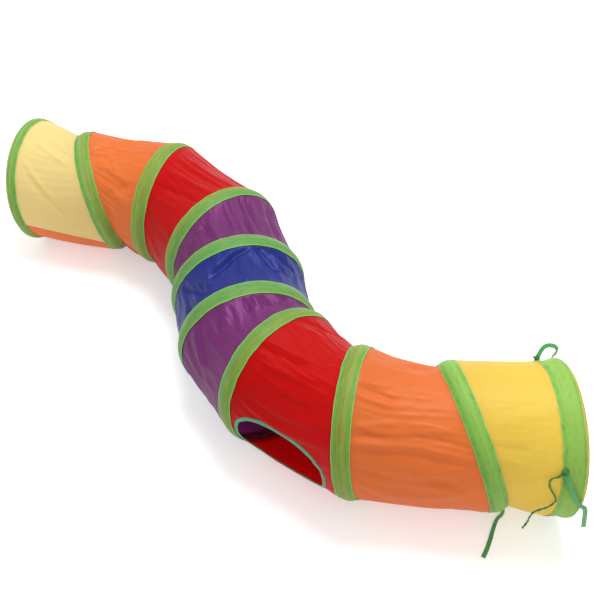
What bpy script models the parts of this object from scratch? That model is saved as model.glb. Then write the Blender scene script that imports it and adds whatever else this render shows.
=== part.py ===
"""A pop-up cat tunnel: nine sections of thin cloth, sewn end to end and held open by ten
sprung hoops of steel wire. The tunnel lies on the floor in an S. Metres, +Z up, mouths at
the left and the right, origin on the floor under the middle of the tunnel."""

import math

import bmesh
import bpy
from mathutils import Matrix, Vector

# Hoops, left mouth first: centre on the floor plan, heading of the hoop's axis, and how far
# the axis tips up. Metres and degrees.
HOOPS = (
    (-0.547, 0.238, -12.5, 5.0),
    (-0.406, 0.200, 8.5, 13.0),
    (-0.267, 0.155, -23.5, 0.0),
    (-0.149, 0.024, -52.0, 0.0),
    (-0.112, -0.100, -74.5, 0.0),
    (-0.089, -0.218, -74.5, 0.0),
    (-0.033, -0.304, -47.0, 6.0),
    (0.092, -0.399, -13.5, 8.0),
    (0.271, -0.423, 12.0, 15.0),
    (0.407, -0.429, 2.5, 0.0),
)
MIDDLE_HOOP = 4  # the hoop that the others fold towards

# Cloth, hoop wire, crimped ferrule and binding tape
CLOTH_RADIUS = 0.1205  # outer face of the cloth at a hoop
CLOTH = 0.0008
WIRE_RADIUS = 0.0010
FERRULE_RADIUS = 0.00155
FERRULE_WALL = 0.0004
FERRULE_LENGTH = 0.016
FERRULE_SIDES = 8
FERRULE_FACET = 23.5  # which straight of the hoop it sits on, low on the far side
TAPE = 0.0007
TAPE_WIDTH = 0.030
TAPE_CROWN = 0.003  # the flat strip of tape that runs over the wire
MOUTH_TAPE_INNER = 0.031  # the wider tape of the right mouth, from its wire inwards
LEFT_TAPE_INNER = 0.0135  # and the narrow one of the left mouth
MOUTH_TAPE_OUTER = 0.0035
MOUTH_HEM = 0.0045  # the cloth that shows past the tape of a mouth
GAP = 0.0003  # clearance between pieces that touch
COLLAR_MARGIN = 0.001  # the cloth runs straight this far past a tape
FLAT = 0.0005  # how deep the underside is pressed flat on the floor

# How the cloth hangs between two hoops
WAIST = 0.0035  # drawn in all round
SAG = 0.0085  # more at the top, by its weight
BELLY = 0.0070  # let down at the bottom, as far as the floor
FOLD_DEPTH = 0.0062
FOLD_COUNT = 8
LEAST_SLACK = 0.25  # share of the folds that a straight stretch keeps
FULL_SLACK_TURN = 30.0  # a section that turns this far has all its folds, in degrees
SLACK_FOCUS = 1.5  # more keeps the folds nearer the inner side of a bend
FOLD_SHIFT = 1.7  # how the folds move round from one section to the next, in radians
FOLD_SLANT = 0.9  # and how they slant along a section

# The strips of the next colour, low on the near side of the first sections
STRIP_SECTIONS = (0, 1, 2, 3)
STRIP_TOP = 194.5  # seam angle at the left mouth
STRIP_STEP = 5.0  # and how far it drops at each hoop
STRIP_BOTTOM = 287.0
SEAM_RUN_OUT = 0.05  # the seams are cut this far past the hoops
SEAM_REACH = 1.5  # and this many cloth radii out

# Peephole, in the near side of the seventh section
HOLE_SECTION = 6
HOLE_LENGTH = 0.172
HOLE_HEIGHT = 0.092
HOLE_SHARE = 0.47  # how far along the section its middle is
HOLE_ANGLE = 188.0
HOLE_SQUARE = 3.0  # 2 is an ellipse, more is squarer
HOLE_POINTS = 36
HOLE_TAPE = 0.0060
HOLE_TAPE_THICKNESS = 0.0018

# Ties of narrow ribbon, knotted to the tape of the right mouth or sewn under the ninth hoop
RIBBON_WIDTH = 0.0070
RIBBON = 0.0010
TWIST_WIDTH = 0.0024
KNOT_RADIUS = 0.0042
KNOT_FLAT = 0.8  # height of a knot for its width
KNOT_ALONG = -0.0274  # from the wire of the mouth, between two wires when packed
KNOT_SEGMENTS = 10
KNOT_RINGS = 6
TOP_KNOT_FACET = 3.5
FRONT_KNOT_FACET = 12.5
RIBBON_STEPS = 14
CURVE_STEPS = 12  # fine steps between two points of a route
# Where each ribbon runs after its knot, and which way its face looks at its start and end
TOP_RIBBON = (
    (0.3835, -0.3275, 0.2170), (0.3890, -0.3240, 0.2205), (0.3965, -0.3230, 0.2215),
    (0.4040, -0.3235, 0.2195), (0.4095, -0.3250, 0.2130), (0.4115, -0.3215, 0.2030),
    (0.4115, -0.3135, 0.1900), (0.4115, -0.3070, 0.1740), (0.4115, -0.3030, 0.1560),
)
TOP_RIBBON_FACES = ((0.0, -1.0, 1.0), (0.0, 1.0, 0.2))
FRONT_TWIST = (
    (0.3745, -0.5410, 0.1790), (0.3655, -0.5420, 0.1755), (0.3625, -0.5440, 0.1690),
    (0.3655, -0.5475, 0.1580), (0.3740, -0.5515, 0.1440), (0.3765, -0.5530, 0.1340),
    (0.3680, -0.5540, 0.1200), (0.3510, -0.5540, 0.1075), (0.3460, -0.5540, 0.0940),
    (0.3445, -0.5540, 0.0780), (0.3400, -0.5540, 0.0600),
)
FRONT_RIBBON = (
    (0.3950, -0.5525, 0.1600), (0.4030, -0.5568, 0.1440), (0.4095, -0.5585, 0.1325),
    (0.4150, -0.5592, 0.1290), (0.4200, -0.5595, 0.1240), (0.4235, -0.5595, 0.1120),
    (0.4265, -0.5595, 0.0930), (0.4300, -0.5590, 0.0720),
)
FRONT_RIBBON_FACES = ((0.0, -1.0, 0.5), (0.0, -1.0, 0.1))
FLOOR_TIE_HOOP = 8
FLOOR_TIE_ALONG = 0.009
FLOOR_TIE_FACET = 19.5
FLOOR_RIBBON = (
    (0.3275, -0.4930, 0.0120), (0.3255, -0.4965, 0.0035), (0.3183, -0.5030, 0.0012),
    (0.3105, -0.5184, 0.0010), (0.3017, -0.5399, 0.0010), (0.2936, -0.5575, 0.0010),
    (0.2862, -0.5705, 0.0010),
)
FLOOR_RIBBON_FACES = ((0.3, -1.0, 0.4), (0.0, 0.0, 1.0))

# Folding: the wires lie this far apart when the tunnel is packed flat
PACKED_PITCH = 0.008

COLUMNS = 30
COLUMN_STEP = 360.0 / COLUMNS
MIDDLE_ROWS = (0.25, 0.5, 0.75)
MERGE = 0.00001
SHARP_ANGLE = 40.0
FLOOR_CUT = (4.0, 4.0, 0.1)  # a block under the whole floor
SAME_WAY = 1e-4  # hoops whose facings differ by less are parallel

WIRE_CENTRE = CLOTH_RADIUS + GAP + FERRULE_RADIUS
TAPE_EDGE = CLOTH_RADIUS + GAP
TAPE_TOP = WIRE_CENTRE + FERRULE_RADIUS + GAP

COLOURS = {
    "pale_yellow_cloth": (0.75, 0.64, 0.32),
    "yellow_cloth": (0.83, 0.61, 0.12),
    "orange_cloth": (0.78, 0.23, 0.06),
    "red_cloth": (0.50, 0.015, 0.015),
    "purple_cloth": (0.17, 0.035, 0.17),
    "blue_cloth": (0.035, 0.045, 0.30),
    "green_tape": (0.14, 0.38, 0.06),
    "teal_tape": (0.06, 0.30, 0.14),
    "spring_steel": (0.55, 0.55, 0.56),
}
SECTION_COLOURS = (
    "pale_yellow", "orange", "red", "purple", "blue", "purple", "red", "orange", "yellow",
)


def clear_scene():
    for thing in list(bpy.data.objects):
        bpy.data.objects.remove(thing, do_unlink=True)


def new_collection(name):
    group = bpy.data.collections.new(name)
    bpy.context.scene.collection.children.link(group)
    return group


def material(name):
    found = bpy.data.materials.get(name)
    if found:
        return found
    made = bpy.data.materials.new(name)
    made.use_nodes = True
    shader = made.node_tree.nodes["Principled BSDF"]
    shader.inputs["Base Color"].default_value = (*COLOURS[name], 1.0)
    steel = name == "spring_steel"
    shader.inputs["Metallic"].default_value = 1.0 if steel else 0.0
    shader.inputs["Roughness"].default_value = 0.3 if steel else 0.55
    made.diffuse_color = (*COLOURS[name], 1.0)
    return made


# Hoop frames: X along the tunnel, Y to its left, Z up in the plane of the hoop


def tape_reach(hoop):
    """How far the tape of a hoop reaches back and forward of its wire."""
    if hoop == 0:
        return MOUTH_TAPE_OUTER, LEFT_TAPE_INNER
    if hoop == len(HOOPS) - 1:
        return MOUTH_TAPE_INNER, MOUTH_TAPE_OUTER
    return TAPE_WIDTH / 2, TAPE_WIDTH / 2


def tape_profile(hoop):
    """Section of a tape as (along, radius): outer face forwards, inner face back."""
    back, ahead = tape_reach(hoop)
    crown = TAPE_CROWN / 2
    outer = [
        (-back, TAPE_EDGE + TAPE), (-crown, TAPE_TOP + TAPE),
        (crown, TAPE_TOP + TAPE), (ahead, TAPE_EDGE + TAPE),
    ]
    inner = [
        (ahead, TAPE_EDGE), (crown, TAPE_TOP), (-crown, TAPE_TOP), (-back, TAPE_EDGE),
    ]
    return outer + inner


def ring_point(along, radius, degrees):
    angle = math.radians(degrees)
    return Vector((along, radius * math.cos(angle), radius * math.sin(angle)))


def hoop_frame(hoop):
    """The frame of a hoop that stands on the floor, pressed flat a little."""
    x, y, heading, lean = HOOPS[hoop]
    turn = Matrix.Rotation(math.radians(heading), 3, "Z")
    tip = Matrix.Rotation(math.radians(-lean), 3, "Y")
    axes = turn @ tip
    lowest = min(
        (axes @ ring_point(along, radius, column * COLUMN_STEP)).z
        for along, radius in tape_profile(hoop)
        for column in range(COLUMNS)
    )
    return Matrix.Translation((x, y, -lowest - FLAT)) @ axes.to_4x4()


FRAMES = [hoop_frame(hoop) for hoop in range(len(HOOPS))]


def on_hoop(hoop, along, radius, degrees):
    return FRAMES[hoop] @ ring_point(along, radius, degrees)


# Cloth between two hoops


def cloth_start(hoop):
    """Where the cloth of the section after this hoop begins, from its wire."""
    return -(MOUTH_TAPE_OUTER + MOUTH_HEM) if hoop == 0 else GAP / 2


def cloth_end(hoop):
    """Where the cloth of the section before this hoop ends, from its wire."""
    if hoop == len(HOOPS) - 1:
        return MOUTH_TAPE_OUTER + MOUTH_HEM
    return -GAP / 2


def collars(section, offset, degrees):
    """Where the cloth leaves the first hoop's tape and meets the second's."""
    radius = CLOTH_RADIUS - CLOTH / 2 + offset
    ahead = tape_reach(section)[1] + COLLAR_MARGIN
    back = tape_reach(section + 1)[0] + COLLAR_MARGIN
    return (
        on_hoop(section, ahead, radius, degrees),
        on_hoop(section + 1, -back, radius, degrees),
    )


def inner_side(section):
    """Angle of the inner side of the bend, and how slack the cloth is there."""
    turn = HOOPS[section + 1][2] - HOOPS[section][2]
    return (0.0 if turn > 0 else 180.0), min(1.0, abs(turn) / FULL_SLACK_TURN)


def cloth_point(section, share, degrees, offset):
    """A point of the hanging cloth: share of the way between the collars of a section."""
    start, end = collars(section, offset, degrees)
    out_first = FRAMES[section].to_3x3() @ ring_point(0, 1, degrees)
    out_second = FRAMES[section + 1].to_3x3() @ ring_point(0, 1, degrees)
    out = out_first.lerp(out_second, share).normalized()
    bump = 4 * share * (1 - share)
    inner, slack = inner_side(section)
    near_inner = (1 + math.cos(math.radians(degrees - inner))) / 2
    folds = LEAST_SLACK + (1 - LEAST_SLACK) * slack * near_inner ** SLACK_FOCUS
    phase = FOLD_SHIFT * section + FOLD_SLANT * share
    wave = math.sin(math.radians(FOLD_COUNT * degrees) + phase)
    up = max(0.0, out.z)
    down = max(0.0, -out.z)
    point = start.lerp(end, share)
    point += out * bump * (FOLD_DEPTH * folds * wave * (1 - down) - WAIST * (1 - down))
    point.z -= bump * (SAG * up ** 2 + BELLY * down ** 2)
    point.z = max(point.z, CLOTH / 2 + offset * out.z - FLAT)
    return point


def cloth_column(section, degrees, thickness):
    """The closed section of the cloth's wall along one line of the tunnel."""
    loop = []
    for face in (1, -1):
        offset = face * thickness / 2
        radius = CLOTH_RADIUS - CLOTH / 2 + offset
        start, end = collars(section, offset, degrees)
        line = [on_hoop(section, cloth_start(section), radius, degrees), start]
        line += [cloth_point(section, share, degrees, offset) for share in MIDDLE_ROWS]
        line += [end, on_hoop(section + 1, cloth_end(section + 1), radius, degrees)]
        loop += line[::face]
    return loop


# Mesh makers


def loft(name, sections, cyclic):
    """A closed solid through sections with the same number of points."""
    shape = bmesh.new()
    rings = [[shape.verts.new(point) for point in ring] for ring in sections]
    count = len(rings[0])
    pairs = list(zip(rings, rings[1:] + rings[:1] if cyclic else rings[1:]))
    for ring, following in pairs:
        for i in range(count):
            j = (i + 1) % count
            shape.faces.new((ring[i], ring[j], following[j], following[i]))
    if not cyclic:
        shape.faces.new(rings[0])
        shape.faces.new(rings[-1])
    bmesh.ops.recalc_face_normals(shape, faces=shape.faces)
    bmesh.ops.triangulate(shape, faces=shape.faces, quad_method="SHORT_EDGE")
    mesh = bpy.data.meshes.new(name)
    shape.to_mesh(mesh)
    shape.free()
    return mesh


def profile_mesh(name, profile):
    """A closed outline in the XY plane, for a Screw modifier about X."""
    mesh = bpy.data.meshes.new(name)
    count = len(profile)
    points = [(along, radius, 0.0) for along, radius in reversed(profile)]
    mesh.from_pydata(points, [(i, (i + 1) % count) for i in range(count)], [])
    return mesh


def smooth_through(points, count):
    """Points at even steps along a smooth curve through the given ones."""
    points = [Vector(point) for point in points]
    ends = [2 * points[0] - points[1]] + points + [2 * points[-1] - points[-2]]
    fine = []
    for i in range(1, len(ends) - 2):
        before, here, there, after = ends[i - 1:i + 3]
        for step in range(CURVE_STEPS):
            t = step / CURVE_STEPS
            fine.append(
                0.5 * (
                    2 * here + (there - before) * t
                    + (2 * before - 5 * here + 4 * there - after) * t ** 2
                    + (3 * here - before - 3 * there + after) * t ** 3
                )
            )
    fine.append(points[-1])
    lengths = [0.0]
    for a, b in zip(fine, fine[1:]):
        lengths.append(lengths[-1] + (b - a).length)
    even = []
    for i in range(count):
        target = lengths[-1] * i / (count - 1)
        k = max(j for j in range(len(fine)) if lengths[j] <= target + 1e-12)
        k = min(k, len(fine) - 2)
        even.append(fine[k].lerp(fine[k + 1], (target - lengths[k]) / (lengths[k + 1] - lengths[k])))
    return even, lengths[-1]


# Bodies and joints


def body_name(hoop):
    return f"hoop_{hoop + 1}"


def parent_hoop(hoop):
    return hoop + 1 if hoop < MIDDLE_HOOP else hoop - 1


def section_body(section):
    """The hoop that carries a section: its end nearer the middle hoop."""
    return section + 1 if section < MIDDLE_HOOP else section


def fold_of(hoop):
    """How a hoop packs flat on its neighbour: type, point on the axis, axis and travel."""
    parent = parent_hoop(hoop)
    side = 1 if hoop > parent else -1
    facing, facing_parent = (FRAMES[i].to_3x3().col[0] for i in (hoop, parent))
    centre = FRAMES[hoop].translation
    packed = FRAMES[parent].translation + side * PACKED_PITCH * facing_parent
    travel = packed - centre
    change = facing - facing_parent
    if change.length < SAME_WAY:
        return "slide", centre, travel.normalized(), travel.length
    axis = travel.cross(change).normalized()
    flat = facing - axis * facing.dot(axis)
    flat_parent = facing_parent - axis * facing_parent.dot(axis)
    angle = math.atan2(axis.dot(flat.cross(flat_parent)), flat.dot(flat_parent))
    pole = (centre + packed) / 2 + axis.cross(travel) / (2 * math.tan(angle / 2))
    if angle < 0:
        axis, angle = -axis, -angle
    return "hinge", pole, axis, math.degrees(angle)


clear_scene()
TUNNEL = new_collection("cat_tunnel")
CUTTERS = new_collection("cutters")
LAID = bpy.data.objects.new("laid_on_floor", None)
TUNNEL.objects.link(LAID)
PIVOTS = []
for hoop in range(len(HOOPS)):
    pivot = bpy.data.objects.new(f"pivot_of_{body_name(hoop)}", None)
    place = FRAMES[hoop].translation if hoop == MIDDLE_HOOP else fold_of(hoop)[1]
    pivot.location = place
    pivot.parent = LAID
    TUNNEL.objects.link(pivot)
    PIVOTS.append(pivot)


def add(name, data, slot, hoop, frame=None):
    """A piece of the tunnel, placed by its frame and carried by the pivot of its hoop."""
    piece = bpy.data.objects.new(name, data)
    data.materials.append(material(slot))
    piece.parent = PIVOTS[hoop]
    piece.matrix_parent_inverse = Matrix.Translation(-PIVOTS[hoop].location)
    piece.matrix_basis = frame if frame else Matrix.Identity(4)
    TUNNEL.objects.link(piece)
    if piece.type == "MESH":
        data.shade_smooth()
        data.set_sharp_from_angle(angle=math.radians(SHARP_ANGLE))
    return piece


def add_cutter(name, mesh):
    cutter = bpy.data.objects.new(name, mesh)
    cutter.hide_render = True
    cutter.display_type = "WIRE"
    CUTTERS.objects.link(cutter)
    return cutter


def boolean(piece, cutter, operation):
    change = piece.modifiers.new(cutter.name, "BOOLEAN")
    change.operation = operation
    change.object = cutter
    change.solver = "EXACT"


def screw(piece, steps):
    turned = piece.modifiers.new("turned", "SCREW")
    turned.axis = "X"
    turned.steps = steps
    turned.render_steps = steps
    turned.use_merge_vertices = True
    turned.merge_threshold = MERGE
    turned.use_smooth_shade = True


def floor_cutter():
    """A block under the floor, which cuts the underside flat."""
    shape = bmesh.new()
    bmesh.ops.create_cube(shape, size=1.0)
    bmesh.ops.scale(shape, vec=FLOOR_CUT, verts=shape.verts)
    bmesh.ops.translate(shape, vec=(0.0, 0.0, -FLOOR_CUT[2] / 2), verts=shape.verts)
    mesh = bpy.data.meshes.new("floor_cutter")
    shape.to_mesh(mesh)
    shape.free()
    return add_cutter("floor_cutter", mesh)


def strip_wedge(section, spread):
    """A wedge from the tunnel's centre line, between the strip's two seams."""
    ends = []
    far = SEAM_REACH * CLOTH_RADIUS
    for hoop, along in ((section, -SEAM_RUN_OUT), (section + 1, SEAM_RUN_OUT)):
        top = STRIP_TOP + STRIP_STEP * hoop - spread
        bottom = STRIP_BOTTOM + spread
        ends.append([
            on_hoop(hoop, along, 0.0, 0.0),
            on_hoop(hoop, along, far, top),
            on_hoop(hoop, along, far, (top + bottom) / 2),
            on_hoop(hoop, along, far, bottom),
        ])
    return loft(f"strip_wedge_{section + 1}", ends, cyclic=False)


def hole_frame():
    """X along the peephole, Z out of the cloth."""
    inner = cloth_point(HOLE_SECTION, 0.0, HOLE_ANGLE, 0.0)
    outer = cloth_point(HOLE_SECTION, 1.0, HOLE_ANGLE, 0.0)
    middle = cloth_point(HOLE_SECTION, HOLE_SHARE, HOLE_ANGLE, 0.0)
    along = (outer - inner).normalized()
    axis = FRAMES[HOLE_SECTION].translation.lerp(
        FRAMES[HOLE_SECTION + 1].translation, HOLE_SHARE
    )
    out = middle - axis
    out = (out - along * out.dot(along)).normalized()
    across = out.cross(along)
    turn = Matrix((along, across, out)).transposed().to_4x4()
    return Matrix.Translation(middle) @ turn


def hole_prism(name, inset):
    """The peephole's rounded outline, drawn in by inset, as a prism through one wall."""
    half_length = HOLE_LENGTH / 2 - inset
    half_height = HOLE_HEIGHT / 2 - inset
    outline = []
    for i in range(HOLE_POINTS):
        angle = 2 * math.pi * i / HOLE_POINTS
        power = 2 / HOLE_SQUARE
        x = math.copysign(abs(math.cos(angle)) ** power, math.cos(angle)) * half_length
        y = math.copysign(abs(math.sin(angle)) ** power, math.sin(angle)) * half_height
        outline.append((x, y))
    frame = hole_frame()
    depth = CLOTH_RADIUS / 2
    ends = [[frame @ Vector((x, y, z)) for x, y in outline] for z in (-depth, depth)]
    return add_cutter(name, loft(name, ends, cyclic=False))


FLOOR = floor_cutter()


def add_hoop(hoop):
    """The wire hoop, the ferrule over its joint and the tape that binds it to the cloth."""
    number = hoop + 1
    frame = FRAMES[hoop]
    curve = bpy.data.curves.new(f"hoop_wire_{number}", "CURVE")
    curve.dimensions = "3D"
    line = curve.splines.new("POLY")
    line.points.add(COLUMNS - 1)
    for i, point in enumerate(line.points):
        point.co = (*ring_point(0.0, WIRE_CENTRE, i * COLUMN_STEP), 1.0)
    line.use_cyclic_u = True
    curve.bevel_depth = WIRE_RADIUS
    curve.bevel_resolution = 1
    add(f"hoop_wire_{number}", curve, "spring_steel", hoop, frame)

    bore = FERRULE_RADIUS - FERRULE_WALL
    half = FERRULE_LENGTH / 2
    rim = [(-half, FERRULE_RADIUS), (half, FERRULE_RADIUS), (half, bore), (-half, bore)]
    chord = WIRE_CENTRE * math.cos(math.radians(COLUMN_STEP / 2))
    angle = FERRULE_FACET * COLUMN_STEP
    seat = Matrix.Translation(ring_point(0.0, chord, angle))
    turn = Matrix.Rotation(math.radians(angle), 4, "X")
    lie = Matrix.Rotation(math.radians(-90), 4, "Y")
    ferrule = add(
        f"hoop_ferrule_{number}", profile_mesh("ferrule", rim), "spring_steel", hoop,
        frame @ seat @ turn @ lie,
    )
    screw(ferrule, FERRULE_SIDES)

    tape = add(
        f"hoop_tape_{number}", profile_mesh("tape", tape_profile(hoop)), "green_tape", hoop,
        frame,
    )
    screw(tape, COLUMNS)
    boolean(tape, FLOOR, "DIFFERENCE")


def cloth_mesh(name, section, thickness):
    columns = [
        cloth_column(section, i * COLUMN_STEP, thickness) for i in range(COLUMNS)
    ]
    return loft(name, columns, cyclic=True)


def add_section(section):
    """One length of the tunnel's cloth, with its strip of the next colour if it has one."""
    colour = SECTION_COLOURS[section]
    hoop = section_body(section)
    name = f"section_{section + 1}_{colour}"
    cloth = add(name, cloth_mesh(name, section, CLOTH), f"{colour}_cloth", hoop)
    boolean(cloth, FLOOR, "DIFFERENCE")
    if section in STRIP_SECTIONS:
        below = SECTION_COLOURS[section + 1]
        strip_name = f"section_{section + 1}_lower_{below}"
        strip = add(
            strip_name, cloth_mesh(strip_name, section, CLOTH), f"{below}_cloth", hoop
        )
        boolean(strip, FLOOR, "DIFFERENCE")
        spread = math.degrees(GAP / CLOTH_RADIUS)
        wide = add_cutter(f"strip_room_{section + 1}", strip_wedge(section, spread))
        narrow = add_cutter(f"strip_shape_{section + 1}", strip_wedge(section, 0.0))
        boolean(cloth, wide, "DIFFERENCE")
        boolean(strip, narrow, "INTERSECT")
    if section == HOLE_SECTION:
        boolean(cloth, hole_prism("peephole_cut", 0.0), "DIFFERENCE")
        rim = add(
            "peephole_tape", cloth_mesh("peephole_tape", section, HOLE_TAPE_THICKNESS),
            "teal_tape", hoop,
        )
        boolean(rim, hole_prism("peephole_tape_outer", GAP), "INTERSECT")
        boolean(rim, hole_prism("peephole_tape_inner", GAP + HOLE_TAPE), "DIFFERENCE")


def tape_seat(hoop, along, facet):
    """Point and outward direction on the sloping face of a tape, in the middle of a facet."""
    back, ahead = tape_reach(hoop)
    edge = -back if along < 0 else ahead
    crown = math.copysign(TAPE_CROWN / 2, along)
    share = (along - edge) / (crown - edge)
    radius = TAPE_EDGE + TAPE + share * (TAPE_TOP - TAPE_EDGE)
    low, high = (math.floor(facet) * COLUMN_STEP, math.ceil(facet) * COLUMN_STEP)
    left, right = (on_hoop(hoop, along, radius, angle) for angle in (low, high))
    rise = on_hoop(hoop, crown, TAPE_TOP + TAPE, low)
    out = (right - left).cross(rise - left).normalized()
    point = (left + right) / 2
    if out.dot(point - FRAMES[hoop].translation) < 0:
        out = -out
    return point, out


def add_knot(name, facet):
    """A ribbon's knot, tied against the tape of the right mouth."""
    hoop = len(HOOPS) - 1
    seat, out = tape_seat(hoop, KNOT_ALONG, facet)
    shape = bmesh.new()
    bmesh.ops.create_uvsphere(
        shape, u_segments=KNOT_SEGMENTS, v_segments=KNOT_RINGS, radius=KNOT_RADIUS
    )
    bmesh.ops.scale(shape, vec=(1.0, 1.0, KNOT_FLAT), verts=shape.verts)
    mesh = bpy.data.meshes.new(name)
    shape.to_mesh(mesh)
    shape.free()
    height = KNOT_RADIUS * KNOT_FLAT + GAP
    turn = out.to_track_quat("Z", "X").to_matrix().to_4x4()
    centre = seat + out * height
    add(name, mesh, "green_tape", hoop, Matrix.Translation(centre) @ turn)
    return centre


def add_ribbon(name, hoop, start, route, faces, width, thickness):
    """A ribbon along a smooth route, its face turning from the first way to the second."""
    line, length = smooth_through([start, *route], RIBBON_STEPS)
    sections = []
    for i, point in enumerate(line):
        ahead = line[min(i + 1, len(line) - 1)] - line[max(i - 1, 0)]
        share = i / (len(line) - 1)
        face = Vector(faces[0]).lerp(Vector(faces[1]), share)
        side = ahead.cross(face).normalized() * width / 2
        up = side.cross(ahead).normalized() * thickness / 2
        sections.append([point + side + up, point - side + up, point - side - up, point + side - up])
    ribbon = add(name, loft(name, sections, cyclic=False), "green_tape", hoop)
    CORDS.append(ribbon)
    print(f"{name}: {length * 1000:.0f} mm long")


def beside(knot, towards, clear):
    """Where a ribbon starts: just clear of its knot, on the side that it leaves by."""
    towards = Vector(towards)
    return knot + (towards - knot).normalized() * (KNOT_RADIUS + clear)


def add_ties():
    mouth = len(HOOPS) - 1
    top = add_knot("tie_top_knot", TOP_KNOT_FACET)
    add_ribbon(
        "tie_top_ribbon", mouth, beside(top, TOP_RIBBON[0], GAP), TOP_RIBBON,
        TOP_RIBBON_FACES, RIBBON_WIDTH, RIBBON,
    )
    front = add_knot("tie_front_knot", FRONT_KNOT_FACET)
    add_ribbon(
        "tie_front_twist", mouth, beside(front, FRONT_TWIST[0], GAP), FRONT_TWIST,
        FRONT_RIBBON_FACES, TWIST_WIDTH, TWIST_WIDTH,
    )
    add_ribbon(
        "tie_front_ribbon", mouth, beside(front, FRONT_RIBBON[0], GAP), FRONT_RIBBON,
        FRONT_RIBBON_FACES, RIBBON_WIDTH, RIBBON,
    )
    seat, out = tape_seat(FLOOR_TIE_HOOP, FLOOR_TIE_ALONG, FLOOR_TIE_FACET)
    add_ribbon(
        "tie_floor_ribbon", FLOOR_TIE_HOOP, seat + out * (GAP + RIBBON / 2), FLOOR_RIBBON,
        FLOOR_RIBBON_FACES, RIBBON_WIDTH, RIBBON,
    )


CORDS = []
for hoop in range(len(HOOPS)):
    add_hoop(hoop)
for section in range(len(HOOPS) - 1):
    add_section(section)
add_ties()
bpy.context.view_layer.update()


def stand_in_the_middle():
    """Moves the tunnel so that its box, without the ties, is centred on the origin."""
    graph = bpy.context.evaluated_depsgraph_get()
    low, high = Vector((9, 9, 9)), Vector((-9, -9, -9))
    for piece in TUNNEL.objects:
        if piece.type == "EMPTY" or piece in CORDS:
            continue
        whole = piece.evaluated_get(graph)
        mesh = whole.to_mesh()
        for vertex in mesh.vertices:
            point = whole.matrix_world @ vertex.co
            low = Vector(map(min, low, point))
            high = Vector(map(max, high, point))
        whole.to_mesh_clear()
    shift = -(low + high) / 2
    LAID.location = (shift.x, shift.y, 0.0)
    for cutter in CUTTERS.objects:
        cutter.location = LAID.location
    return shift


shift = stand_in_the_middle()
shift.z = 0.0
print("shift", [round(value, 5) for value in shift])
for hoop in range(len(HOOPS)):
    if hoop != MIDDLE_HOOP:
        kind, place, axis, travel = fold_of(hoop)
        print(
            f"joint of {body_name(hoop)}: {kind}",
            [round(value, 5) for value in place + shift],
            [round(value, 5) for value in axis],
            round(travel, 4),
        )
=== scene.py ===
import math

import bmesh
import bpy
import numpy as np
from mathutils import Matrix, Vector, noise
from mathutils.bvhtree import BVHTree


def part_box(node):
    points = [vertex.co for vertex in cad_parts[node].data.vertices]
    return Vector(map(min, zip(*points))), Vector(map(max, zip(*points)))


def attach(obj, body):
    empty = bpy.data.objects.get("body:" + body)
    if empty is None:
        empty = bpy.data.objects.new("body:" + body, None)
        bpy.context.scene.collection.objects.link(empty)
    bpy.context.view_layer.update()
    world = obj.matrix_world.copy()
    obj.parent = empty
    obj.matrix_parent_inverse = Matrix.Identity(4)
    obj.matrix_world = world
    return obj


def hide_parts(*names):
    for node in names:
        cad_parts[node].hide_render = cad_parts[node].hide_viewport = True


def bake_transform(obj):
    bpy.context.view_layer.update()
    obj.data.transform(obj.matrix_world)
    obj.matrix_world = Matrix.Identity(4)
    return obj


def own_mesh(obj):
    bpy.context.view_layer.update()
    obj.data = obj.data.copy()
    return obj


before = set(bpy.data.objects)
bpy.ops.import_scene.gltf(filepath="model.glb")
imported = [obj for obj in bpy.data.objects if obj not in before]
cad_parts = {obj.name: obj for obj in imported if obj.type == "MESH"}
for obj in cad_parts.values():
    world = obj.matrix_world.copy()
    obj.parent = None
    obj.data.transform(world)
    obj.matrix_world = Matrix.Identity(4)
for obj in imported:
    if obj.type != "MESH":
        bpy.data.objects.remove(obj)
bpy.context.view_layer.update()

scene = bpy.context.scene


# Floor, light and camera
# The tunnel lies on a plain white floor. It is seen from in front and half a right
# angle above, under soft light that comes from above and a little from behind.

WHITE = (1.0, 1.0, 1.0, 1.0)
# The middle of the floor below the tunnel, from where the ribbons are laid as well
LAID_AT = Vector((0.08126, 0.09679, 0.0))
CAMERA_AT = Vector((0.08126, -1.18421, 1.281))
LENS = 54.0
SENSOR_WIDTH = 36.0
KEY_AT = Vector((0.25, 0.45, 2.3))
KEY_SIZE = 1.2
KEY_POWER = 37.0
SKY_LIGHT = 0.68
FLOOR_REACH = 6.0
FLOOR_COLOUR = (0.93, 0.93, 0.93, 1.0)
FLOOR_GLOW = (0.42, 0.42, 0.42, 1.0)


class Field:
    """A value that varies over a surface. Reckoning with it adds Math nodes."""

    def __init__(self, shading, socket):
        self.shading = shading
        self.socket = socket

    def reckon(self, operation, *values):
        settings, values = {"operation": operation}, dict(enumerate(values))
        return self.shading.node("ShaderNodeMath", settings, values)["Value"]

    def __add__(self, other):
        return self.reckon("ADD", self, other)

    def __sub__(self, other):
        return self.reckon("SUBTRACT", self, other)

    def __rsub__(self, other):
        return self.reckon("SUBTRACT", other, self)

    def __mul__(self, other):
        return self.reckon("MULTIPLY", self, other)

    def sine(self):
        return self.reckon("SINE", self)

    def least(self, other):
        return self.reckon("MINIMUM", self, other)


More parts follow.
